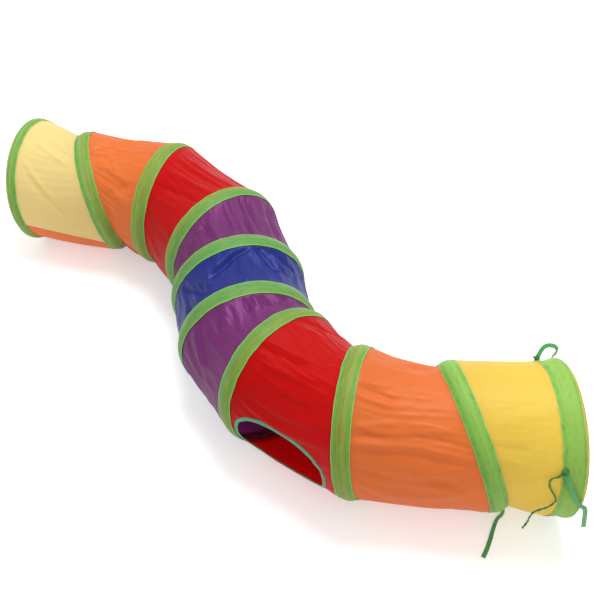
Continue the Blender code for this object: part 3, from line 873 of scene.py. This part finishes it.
settled = {}
for section, (tube, rows, hung) in tubes.items():
    settled[section] = settled_mesh(tube, hung, section)
    press_creases(settled[section], section, rows)
    mark_seams(settled[section], section, rows)
    bpy.data.objects.remove(tube)


# Peephole
# A long rounded hole in the near side of the second red length, where the cat can put
# a paw out. Its edge is bound with a narrow bluish green tape, folded over and sewn.

HOLE_SECTION = 7
HOLE_LENGTH = 0.172
HOLE_HEIGHT = 0.092
HOLE_SHARE = 0.47
HOLE_ANGLE = 188.0
HOLE_SQUARE = 3.0
HOLE_DEPTH = 0.060
CLOTH_INSET = 0.0012
HOLE_AXIS = [Vector(FRAMES[HOLE_SECTION + i][0]) for i in (0, 1)]
BINDING_COLUMNS = 240
BINDING_WIDTH = 0.017
# The folded tape's section: how far out from the hole's outline, and how far off the cloth
BINDING_FOLD = (
    (0.0024, 0.0003), (0.0022, 0.0007), (0.0014, 0.0010), (0.0002, 0.0009),
    (-0.0012, 0.0010), (-0.0026, 0.0011), (-0.0034, 0.0007), (-0.0036, 0.0000),
    (-0.0034, -0.0007), (-0.0025, -0.0010), (-0.0012, -0.0009), (0.0004, -0.0009),
    (0.0014, -0.0006),
)
BINDING_WALL = 0.0003
# The stitches: their pitch, half their size along and across, and where they lie, as above
BINDING_STITCH = 0.0027
BINDING_THREAD = (0.0010, 0.00018, 0.00018)
BINDING_SEAM = (0.0010, 0.0012)
NARROW_RIBS = 2 * math.pi / 0.0009


def frame_at(place, ahead, out):
    """A frame at a place, with X ahead and Z out."""
    turn = Matrix((ahead, out.cross(ahead), out)).transposed().to_4x4()
    return Matrix.Translation(place) @ turn


def hole_frame():
    """X along the peephole, Y across it and Z out of the cloth, with its middle."""
    shares = np.array([0.0, 1.0, HOLE_SHARE])
    points = hung_cloth(HOLE_SECTION, shares, np.full(3, HOLE_ANGLE))
    first, last, middle = (Vector(point) for point in points)
    along = (last - first).normalized()
    out = middle - HOLE_AXIS[0].lerp(HOLE_AXIS[1], HOLE_SHARE)
    return frame_at(middle, along, (out - along * out.dot(along)).normalized())


HOLE_FRAME = hole_frame()


def hole_outline(turn, spread):
    """A point of the hole's rounded outline, moved out by spread, in the hole's frame."""
    x, y = (
        math.copysign(abs(way) ** (2 / HOLE_SQUARE), way)
        for way in (math.cos(turn), math.sin(turn))
    )
    return x * (HOLE_LENGTH / 2 + spread), y * (HOLE_HEIGHT / 2 + spread)


def lengths_along(points):
    return np.r_[0.0, np.cumsum(np.linalg.norm(np.diff(points, axis=0), axis=1))]


def even_turns(count):
    """Turns round the outline that lie at even steps along it, and its whole length."""
    fine = np.linspace(0.0, 2 * math.pi, 7201)
    lengths = lengths_along([hole_outline(turn, 0.0) for turn in fine])
    return np.interp(np.arange(count) * lengths[-1] / count, lengths, fine), lengths[-1]


def cloth_under(tree, x, y):
    """The point of the cloth below a point of the hole's frame, and the way out of it."""
    start = HOLE_FRAME @ Vector((x, y, HOLE_DEPTH))
    inwards = HOLE_FRAME.to_3x3() @ Vector((0.0, 0.0, -1.0))
    point = tree.ray_cast(start, inwards, 2 * HOLE_DEPTH)[0]
    axis = (HOLE_AXIS[1] - HOLE_AXIS[0]).normalized()
    out = point - HOLE_AXIS[0]
    return point, (out - axis * out.dot(axis)).normalized()


def cut_hole(mesh):
    """Cuts the peephole out of the cloth, a little inside the binding's outer edge."""
    back = HOLE_FRAME.inverted()
    half_length, half_height = HOLE_LENGTH / 2 - CLOTH_INSET, HOLE_HEIGHT / 2 - CLOTH_INSET
    shape = shape_of(mesh)
    gone = []
    for face in shape.faces:
        x, y, z = back @ face.calc_center_median()
        size = abs(x / half_length) ** HOLE_SQUARE + abs(y / half_height) ** HOLE_SQUARE
        if size < 1 and abs(z) < HOLE_DEPTH:
            gone.append(face)
    bmesh.ops.delete(shape, geom=gone, context="FACES")
    write_back(shape, mesh)


def narrow_tape_finish(name, dark, light, across_line):
    """Satin ribbon with a fine cross rib, a little darker and lighter in uneven fibres and
    soft patches.
    """
    finish = Finish(name, Roughness=0.45, Specular_IOR_Level=0.35, Sheen_Weight=0.06)
    cut, around, along = finish.across("cut")
    stretch = (60.0, 1400.0, 1.0) if across_line else (1400.0, 60.0, 1.0)
    fibres = finish.noise(cut, 1.0, stretch)
    clouds = finish.noise(cut, 90.0, detail=2.0)
    ribs = ((around if across_line else along) * NARROW_RIBS).sine()
    finish.set(finish.surface, {
        "Base Color": finish.mix(fibres * 0.6 + clouds * 0.7 - 0.15, dark, light),
        "Roughness": clouds * 0.2 + 0.36,
        "Normal": finish.bump(fibres * 0.4 + ribs * 0.08 + clouds * 0.3, 0.0005),
    })
    return finish.material


def peephole_binding(tree):
    """The folded tape round the hole, and its stitches."""
    turns, perimeter = even_turns(BINDING_COLUMNS)
    rows = len(BINDING_FOLD) - 1
    mesh = rolled_grid("peephole_binding", BINDING_COLUMNS, rows, perimeter, BINDING_WIDTH)
    column = np.rint(values_of(mesh, "round_share") * BINDING_COLUMNS) % BINDING_COLUMNS
    points = []
    for turn, row in zip(turns[column.astype(int)], np.rint(values_of(mesh, "row"))):
        spread, height = BINDING_FOLD[int(row)]
        point, out = cloth_under(tree, *hole_outline(turn, spread))
        points.append(point + out * height)
    place(mesh, points)
    piece = smooth_piece("peephole_binding", mesh, narrow_tape_finish(
        "bluish_green_tape", linear(52, 122, 84), linear(104, 178, 136), True
    ))
    thicken(piece, BINDING_WALL)
    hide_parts("peephole_tape")

    shape = bmesh.new()
    size = Matrix.Diagonal((*BINDING_THREAD, 1.0))
    spread, height = BINDING_SEAM
    for turn in even_turns(round(perimeter / BINDING_STITCH))[0]:
        point, out = cloth_under(tree, *hole_outline(turn, spread))
        after = cloth_under(tree, *hole_outline(turn + 0.01, spread))[0]
        at = frame_at(point + out * height, (after - point).normalized(), out)
        bmesh.ops.create_icosphere(shape, subdivisions=1, radius=1.0, matrix=at @ size)
    thread = put_in_scene("peephole_stitching", mesh_from(shape, "peephole_stitching"))
    thread.data.materials.append(thread_finish(
        "bluish_green_thread", linear(60, 130, 92), linear(120, 190, 150)
    ))
    for part in (piece, thread):
        blend_over(part, HOLE_SECTION)


def thread_finish(name, dark, light):
    """Twisted sewing thread, with a slight gloss."""
    finish = Finish(name, Roughness=0.5, Sheen_Weight=0.3)
    at = finish.node("ShaderNodeTexCoord", {}, {})["Object"]
    twist = finish.noise(at, 1500.0)
    finish.set(finish.surface, {
        "Base Color": finish.mix(twist, dark, light),
        "Roughness": twist * 0.2 + 0.4,
    })
    return finish.material


red_cloth = settled[HOLE_SECTION]
peephole_binding(BVHTree.FromPolygons(
    [vertex.co for vertex in red_cloth.vertices],
    [face.vertices for face in red_cloth.polygons],
))
cut_hole(red_cloth)

for section, whole in settled.items():
    colour = CLOTHS[section]
    node = f"section_{section}_{colour}"
    if section > STRIPS:
        finish_cloth(whole, section, node, colour, 0.0, 360.0)
        continue
    below = CLOTHS[section + 1]
    first, second, bottom = seam_angles(section)
    top = (first + second) / 2
    main = keep_part(whole, node, section, False)
    finish_cloth(main, section, node, colour, bottom - 360.0, top)
    node = f"section_{section}_lower_{below}"
    finish_cloth(keep_part(whole, node, section, True), section, node, below, top, bottom)


# Bindings over the hoops
# A band of ribbed green tape over each hoop, sewn down along both edges, holds the wire
# against the cloth: wider at the right mouth and narrower at the left. Each is two halves
# that meet over the wire.

TAPE_EDGE_RADIUS = 0.1212
TAPE_CROWN_RADIUS = 0.1246
TAPE_RISE = 0.017
TAPE_THICKNESS = 0.0005
MOUTH_TAPE_OUTER = 0.0035
TAPE_COLUMNS = 300
TAPE_ROWS = 12
LEAST_TAPE_ROWS = 4
EDGE_WANDER = 0.0012
WANDER_PATCHES = 5
PUCKER = 0.0004
PUCKER_PATCHES = 11
PUCKERS_ALONG = 90
RIB_TURNS = 2 * math.pi / 0.0011
STITCH_PITCH = 0.0031
STITCH_LENGTH = 0.0023
THREAD = 0.00022
STITCH_INSET = 0.0024
STITCH_SLANT = 0.08
# The tape's colours, by how far they lie from its edge as a share of the ramp's length. The
# light edge is a painted highlight on the tape's folded edge, and the dark line just inside
# it is painted shade in the groove of the stitches.
TAPE_RAMP = 0.016
PAINTED_EDGE_HIGHLIGHT, HEM, WORN = linear(140, 196, 100), linear(84, 154, 48), linear(84, 142, 44)
TAPE_COLOURS = (
    (0.0, PAINTED_EDGE_HIGHLIGHT), (0.085, PAINTED_EDGE_HIGHLIGHT), (0.11, linear(58, 116, 30)), (0.17, HEM),
    (0.30, HEM), (0.36, linear(70, 132, 36)), (0.46, WORN), (1.0, WORN),
)
# How much of what lies below shows through each half of the tape. At the yellow end a pale
# colour is painted in instead, with a larger share: painted light that comes through the
# tape.
LEAST_SHOWS = 0.08
PAINTED_LIGHT_SHARES = {(9, 1): 0.30, (10, -1): 0.30, (10, 1): 0.30}
PAINTED_LIT_TAPE = linear(196, 234, 110)


def half_name(hoop, side):
    return f"hoop_tape_{hoop}_{'ahead' if side > 0 else 'back'}"


def half_reach(hoop, side):
    """How far the half of a band reaches from its wire: side is 1 ahead and -1 back."""
    if (hoop, side) in ((1, -1), (HOOPS, 1)):
        return MOUTH_TAPE_OUTER
    return {1: LEFT_TAPE_INNER, HOOPS: MOUTH_TAPE_INNER}.get(hoop, TAPE_HALF)


def cloudy_round(degrees, patches, along):
    """Soft values from -1 to 1 that change round a ring, and along it."""
    return np.array([
        noise.noise(Vector((math.cos(t) * patches, math.sin(t) * patches, a)))
        for t, a in zip(np.radians(degrees), along)
    ])


def tape_radius(hoop, along, degrees):
    """A band's outer face: raised over the wire, and a little puckered at its edges."""
    share = np.minimum(np.abs(along) / TAPE_RISE, 1.0)
    crown = (1 + np.cos(math.pi * share)) / 2
    uneven = cloudy_round(degrees, PUCKER_PATCHES, along * PUCKERS_ALONG + 3 * hoop)
    rise = TAPE_CROWN_RADIUS - TAPE_EDGE_RADIUS
    return TAPE_EDGE_RADIUS + rise * crown + PUCKER * uneven * share * (0.4 + 0.6 * share)


def edge_wander(hoop, side, degrees):
    """How far the edge of a band strays from a true circle, in metres."""
    edge = np.full(len(degrees), 7.0 * hoop + side)
    return EDGE_WANDER * cloudy_round(degrees, WANDER_PATCHES, edge)


def face_outwards(mesh, middle):
    outwards = sum(face.normal.dot(face.center - middle) for face in mesh.polygons)
    if outwards < 0:
        mesh.flip_normals()


def crumple_with_section(piece, hoop, side):
    """Half a band rides on its hoop, and all but the narrow outer halves get a mesh of
    their own.
    """
    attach(piece, f"hoop_{hoop}")
    reach = half_reach(hoop, side)
    if reach > MOUTH_TAPE_OUTER:
        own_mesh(piece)


def cloth_and_painted_light_below(hoop, side):
    """The colour that shows through a half of a band: the cloth below it, and at the two
    hoops of the yellow end a painted pale colour that stands for light coming through the
    tape.
    """
    if hoop >= HOOPS - 1:
        return PAINTED_LIT_TAPE
    return COLOURS[CLOTHS[max(hoop if side > 0 else hoop - 1, 1)]]


def tape_finish():
    """Green ribbed tape: thin light edges that are a painted highlight on their fold, with
    painted shade in the stitch groove beside them, darker hems, and a worn middle that the
    wire has rubbed, where the cloth below shows through a little. At the yellow end a
    painted pale colour shows through instead, for light coming through the tape."""
    finish = Finish(
        "ribbed_green_tape", Roughness=0.55, Specular_IOR_Level=0.3, Sheen_Weight=0.04,
    )
    cut, around, _ = finish.across("cut")
    from_edge, shows = finish.marked("from_edge"), finish.marked("shows")
    # The colour below the tape, which at the yellow end is a painted pale colour for light
    # coming through the tape
    under = finish.marked("under", "Color")
    streaks = finish.noise(cut, 1.0, (26.0, 950.0, 1.0), 4.0)
    blots = finish.noise(cut, 1.0, (60.0, 130.0, 1.0), 3.0)
    place_on_ramp = (from_edge + (streaks - 0.5) * 0.0016) * (1 / TAPE_RAMP)
    ramp = {"stops": TAPE_COLOURS}
    tone = finish.node("ShaderNodeValToRGB", ramp, {"Fac": place_on_ramp})["Color"]
    worn = (place_on_ramp * 4 - 1.4).least(1.0) * (blots * 2.4 - 0.75) * 0.24
    tone = finish.mix(worn + shows, tone, under)
    tone = finish.mix(streaks * 1.3 - 0.50, tone, linear(140, 198, 84))
    tone = finish.mix(blots * 1.6 - 0.80, tone, linear(62, 124, 36))
    ribs = (around * RIB_TURNS).sine()
    by_the_edge = 1 - (place_on_ramp * 2.4).least(1.0)
    puckers = (around * (2 * math.pi / STITCH_PITCH)).sine() * by_the_edge
    height = ribs * 0.008 + streaks * 0.34 + blots * 0.5 + puckers * 0.10
    finish.set(finish.surface, {
        "Base Color": tone,
        "Roughness": streaks * 0.2 + 0.45,
        "Normal": finish.bump(height, 0.0012),
    })
    return finish.material


def band_half(hoop, side):
    reach = half_reach(hoop, side)
    rows = max(LEAST_TAPE_ROWS, round(TAPE_ROWS * reach / TAPE_HALF))
    name = half_name(hoop, side)
    mesh = rolled_grid(name, TAPE_COLUMNS, rows, 2 * math.pi * TAPE_CROWN_RADIUS, reach)
    share = values_of(mesh, "row") / rows
    degrees = 360.0 * values_of(mesh, "round_share")
    along = side * (share * reach + share ** 2 * edge_wander(hoop, side, degrees))
    radius = tape_radius(hoop, along, degrees)
    place(mesh, above_floor(on_hoop(hoop, along, radius, degrees)))
    face_outwards(mesh, Vector(FRAMES[hoop][0]))
    mark(mesh, "from_edge", reach * (1 - share))
    # The colour below each half: the cloth's own, and at the yellow end painted light
    # coming through the tape
    under = mesh.attributes.new("under", "FLOAT_COLOR", "POINT")
    under.data.foreach_set("color", np.tile(cloth_and_painted_light_below(hoop, side), len(share)))
    here, beyond = (PAINTED_LIGHT_SHARES.get((hoop, way), LEAST_SHOWS) for way in (side, -side))
    at_wire = (here + beyond) / 2
    mark(mesh, "shows", at_wire + (here - at_wire) * share)
    piece = smooth_piece(name, mesh, TAPE_FINISH)
    thicken(piece, TAPE_THICKNESS)
    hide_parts(f"hoop_tape_{hoop}")
    crumple_with_section(piece, hoop, side)


def row_of_stitches(along, radius):
    """A ring of short stitches about the X axis, at a radius and a place along it."""
    shape = bmesh.new()
    made = bmesh.ops.create_icosphere(shape, subdivisions=1, radius=1.0)["verts"]
    bmesh.ops.scale(shape, vec=(THREAD, STITCH_LENGTH / 2, THREAD), verts=made)
    bmesh.ops.rotate(shape, verts=made, matrix=Matrix.Rotation(STITCH_SLANT, 3, "Z"))
    bmesh.ops.translate(shape, vec=(along, 0.0, radius), verts=made)
    count = round(2 * math.pi * radius / STITCH_PITCH)
    faces = {face for vertex in made for face in vertex.link_faces}
    edges = {edge for vertex in made for edge in vertex.link_edges}
    bmesh.ops.spin(
        shape, geom=[*made, *edges, *faces], axis=(1.0, 0.0, 0.0), cent=(0.0, 0.0, 0.0),
        angle=2 * math.pi * (count - 1) / count, steps=count - 1, use_duplicate=True,
    )
    return shape


def band_stitching(hoop, side):
    """The thread that sews the edge of a band down."""
    name = f"{half_name(hoop, side)}_stitching"
    place_along = side * (half_reach(hoop, side) - STITCH_INSET)
    mesh = mesh_from(row_of_stitches(place_along, TAPE_EDGE_RADIUS), name)
    x, y, z = points_of(mesh).T
    degrees = np.degrees(np.arctan2(z, y))
    along = x + side * edge_wander(hoop, side, degrees)
    radius = tape_radius(hoop, along, degrees) + (np.hypot(y, z) - TAPE_EDGE_RADIUS)
    place(mesh, above_floor(on_hoop(hoop, along, radius, degrees)))
    piece = smooth_piece(name, mesh, THREAD_FINISH)
    crumple_with_section(piece, hoop, side)


TAPE_FINISH = tape_finish()
THREAD_FINISH = thread_finish("green_thread", linear(86, 150, 66), linear(150, 205, 112))
for hoop in range(1, HOOPS + 1):
    for side in (-1, 1):
        band_half(hoop, side)
        band_stitching(hoop, side)


# Ribbons
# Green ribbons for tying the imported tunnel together: two knotted to the binding of the
# right mouth, one of them with a second end rolled into a thin cord, and one sewn below
# the ninth binding. They hang and lie as they fell.

RIBBON_WIDTH = 0.0070
RIBBON_THICKNESS = 0.0004
RIBBON_CURL = 0.0006
TWIST_WIDTH = 0.0034
TWIST_TURN = 2 * math.pi / 0.011
TWIST_START = 0.9
TWIST_START_LENGTH = 0.009
TWIST_END = 0.35
TWIST_FACE = (0.0, -1.0, 0.4)
KNOT_RADIUS = 0.0042
KNOT_SPREAD = 0.0056
KNOT_STRAND = 0.0019
KNOT_STEPS = 96
KNOT_ROWS = 10
# How long the knot's strand is, and how far round, on the map of its finish
KNOT_MAP = (0.05, 0.008)
RIBBON_STEPS = 90
RIBBON_ROWS = 6
TWIST_COLUMNS = 12
ROUTE_STEPS = 24
TOP_RIBBON = (
    (0.3835, -0.3275, 0.2170), (0.3890, -0.3240, 0.2205), (0.3965, -0.3230, 0.2215),
    (0.4040, -0.3235, 0.2195), (0.4095, -0.3250, 0.2130), (0.4115, -0.3215, 0.2030),
    (0.4115, -0.3135, 0.1900), (0.4115, -0.3070, 0.1740), (0.4115, -0.3030, 0.1560),
)
TOP_RIBBON_FACES = ((0.0, -1.0, 1.0), (1.0, -0.4, 0.9))
FRONT_TWIST = (
    (0.3745, -0.5410, 0.1790), (0.3655, -0.5420, 0.1755), (0.3625, -0.5440, 0.1690),
    (0.3655, -0.5475, 0.1580), (0.3740, -0.5515, 0.1440), (0.3765, -0.5530, 0.1340),
    (0.3680, -0.5540, 0.1200), (0.3510, -0.5540, 0.1075), (0.3460, -0.5540, 0.0940),
    (0.3445, -0.5540, 0.0780), (0.3400, -0.5540, 0.0600),
)
FRONT_RIBBON = (
    (0.3950, -0.5525, 0.1600), (0.4030, -0.5568, 0.1440), (0.4095, -0.5585, 0.1325),
    (0.4150, -0.5592, 0.1290), (0.4200, -0.5595, 0.1240), (0.4235, -0.5595, 0.1120),
    (0.4265, -0.5595, 0.0930), (0.4300, -0.5590, 0.0720),
)
FRONT_RIBBON_FACES = ((0.0, -1.0, 0.5), (0.0, -1.0, 0.1))
FLOOR_TIE_HOOP = 9
FLOOR_TIE_ALONG = 0.009
FLOOR_TIE_ANGLE = 234.0
FLOOR_RIBBON = (
    (0.3275, -0.4930, 0.0120), (0.3255, -0.4965, 0.0035), (0.3183, -0.5030, 0.0012),
    (0.3105, -0.5184, 0.0010), (0.3017, -0.5399, 0.0010), (0.2936, -0.5575, 0.0010),
    (0.2862, -0.5705, 0.0010),
)
FLOOR_RIBBON_FACES = ((0.3, -1.0, 0.4), (0.0, 0.0, 1.0))


def smooth_route(start, route, steps):
    """Points at even steps along a smooth curve from a start through a laid route."""
    points = np.array([start] + [Vector(point) + LAID_AT for point in route])
    ends = np.vstack([2 * points[0] - points[1], points, 2 * points[-1] - points[-2]])
    t = np.linspace(0.0, 1.0, ROUTE_STEPS, endpoint=False)[:, None]
    fine = np.vstack([
        0.5 * (
            2 * b + (c - a) * t + (2 * a - 5 * b + 4 * c - d) * t ** 2
            + (3 * b - a - 3 * c + d) * t ** 3
        )
        for a, b, c, d in zip(ends, ends[1:], ends[2:], ends[3:])
    ] + [points[-1:]])
    lengths = lengths_along(fine)
    even = np.linspace(0.0, lengths[-1], steps + 1)
    line = np.stack([np.interp(even, lengths, fine[:, i]) for i in range(3)], axis=1)
    return line, lengths[-1]


def middle_of(node):
    low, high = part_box(node)
    return (Vector(low) + Vector(high)) / 2


def beside(knot, towards):
    """Where a ribbon comes out of its knot."""
    knot = middle_of(knot)
    return knot + (Vector(towards) + LAID_AT - knot).normalized() * KNOT_RADIUS


def ways_across(ahead, face):
    """The ways across a strand that runs ahead: to its side, and out of its face."""
    side = unit(np.cross(ahead, face))
    return side, np.cross(side, ahead)


def tie(name, mesh, hoop, node, finish):
    piece = smooth_piece(name, mesh, finish)
    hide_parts(node)
    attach(piece, f"hoop_{hoop}")
    return piece


def flat_ribbon(node, hoop, start, route, faces):
    """A ribbon along a route, its face turning from the first way to the second."""
    line, length = smooth_route(start, route, RIBBON_STEPS)
    share = np.linspace(0.0, 1.0, len(line))[:, None]
    face = np.array(faces[0]) * (1 - share) + np.array(faces[1]) * share
    side, up = ways_across(unit(np.gradient(line, axis=0)), face)
    shape = flat_grid(RIBBON_STEPS, RIBBON_ROWS, length, RIBBON_WIDTH)
    for vertex in shape.verts:
        step = round((vertex.co.x + 0.5) * RIBBON_STEPS)
        across = vertex.co.y
        curl = RIBBON_CURL * (4 * across ** 2 - 0.5) * noise.noise(Vector(line[step]) * 60)
        vertex.co = line[step] + side[step] * across * RIBBON_WIDTH + up[step] * curl
    mesh = mesh_from(shape, node)
    place(mesh, above_floor(points_of(mesh)))
    ribbon = tie(node.replace("tie_", ""), mesh, hoop, node, RIBBON_FINISH)
    thicken(ribbon, RIBBON_THICKNESS, 0.0)


def rolled_ribbon(node, hoop, start, route):
    """A ribbon's end that has rolled itself into a thin cord, along a route."""
    line, length = smooth_route(start, route, 2 * RIBBON_STEPS)
    side, up = ways_across(unit(np.gradient(line, axis=0)), TWIST_FACE)
    last = len(line) - 1
    mesh = rolled_grid(node, TWIST_COLUMNS, last, math.pi * TWIST_WIDTH, length)
    step = np.rint(values_of(mesh, "row")).astype(int)
    turn = 2 * math.pi * values_of(mesh, "round_share")
    run = step / last * length
    lumps = np.array([noise.noise(Vector((0.0, 0.0, at * 90))) for at in run])
    oval = 0.78 + 0.2 * np.cos(2 * turn - TWIST_TURN * run) + 0.35 * lumps
    radius = TWIST_WIDTH / 2 * oval
    radius *= 1 + TWIST_START * np.exp(-(run / TWIST_START_LENGTH) ** 2)
    radius *= np.where(step == last, TWIST_END, 1.0)
    out = side[step] * np.cos(turn)[:, None] + up[step] * np.sin(turn)[:, None]
    place(mesh, line[step] + out * radius[:, None])
    shape = shape_of(mesh)
    ends = [edge for edge in shape.edges if edge.is_boundary]
    bmesh.ops.holes_fill(shape, edges=ends)
    write_back(shape, mesh)
    twist = tie("front_rolled_ribbon", mesh, hoop, node, SHADED_RIBBON_FINISH)


def knot(node):
    """A small overhand knot, pulled tight: one strand that passes through its own loop."""
    turn = np.linspace(0.0, 2 * math.pi, KNOT_STEPS, endpoint=False)
    line = np.stack([
        np.sin(turn) + 2 * np.sin(2 * turn), np.cos(turn) - 2 * np.cos(2 * turn),
        -np.sin(3 * turn) * 1.3,
    ], axis=1)
    line *= (KNOT_SPREAD - KNOT_STRAND) / 3.0
    ahead = unit(np.roll(line, -1, axis=0) - np.roll(line, 1, axis=0))
    side, up = ways_across(ahead, (0.0, 0.0, 1.0))
    mesh = rolled_grid(node, KNOT_STEPS, KNOT_ROWS, *KNOT_MAP)
    step = np.rint(values_of(mesh, "round_share") * KNOT_STEPS).astype(int) % KNOT_STEPS
    around = 2 * math.pi * values_of(mesh, "row") / KNOT_ROWS
    uneven = np.array([noise.noise(Vector(line[i]) * 500) for i in step])
    width = KNOT_STRAND * (1.15 + 0.35 * uneven)
    out = side[step] * (np.cos(around) * width * 1.25)[:, None]
    out += up[step] * (np.sin(around) * width * 0.8)[:, None]
    place(mesh, line[step] + out + np.array(middle_of(node)))
    shape = shape_of(mesh)
    bmesh.ops.remove_doubles(shape, verts=shape.verts, dist=1e-5)
    bmesh.ops.recalc_face_normals(shape, faces=shape.faces)
    write_back(shape, mesh)
    tie(node.replace("tie_", "ribbon_"), mesh, HOOPS, node, SHADED_RIBBON_FINISH)


RIBBON_FINISH = narrow_tape_finish(
    "green_ribbon", linear(60, 132, 58), linear(112, 194, 128), False
)
# A darker copy of the ribbon's finish, for the knots and the rolled cord: painted shade in
# their tight folds and twists
SHADED_RIBBON_FINISH = narrow_tape_finish(
    "shaded_green_ribbon", linear(22, 74, 20), linear(74, 146, 52), False
)
for node in ("tie_top_knot", "tie_front_knot"):
    knot(node)
flat_ribbon(
    "tie_top_ribbon", HOOPS, beside("tie_top_knot", TOP_RIBBON[0]),
    TOP_RIBBON, TOP_RIBBON_FACES,
)
flat_ribbon(
    "tie_front_ribbon", HOOPS, beside("tie_front_knot", FRONT_RIBBON[0]),
    FRONT_RIBBON, FRONT_RIBBON_FACES,
)
rolled_ribbon(
    "tie_front_twist", HOOPS, beside("tie_front_knot", FRONT_TWIST[0]), FRONT_TWIST
)
flat_ribbon(
    "tie_floor_ribbon", FLOOR_TIE_HOOP,
    Vector(on_hoop(FLOOR_TIE_HOOP, FLOOR_TIE_ALONG, TAPE_CROWN_RADIUS, FLOOR_TIE_ANGLE)),
    FLOOR_RIBBON, FLOOR_RIBBON_FACES,
)
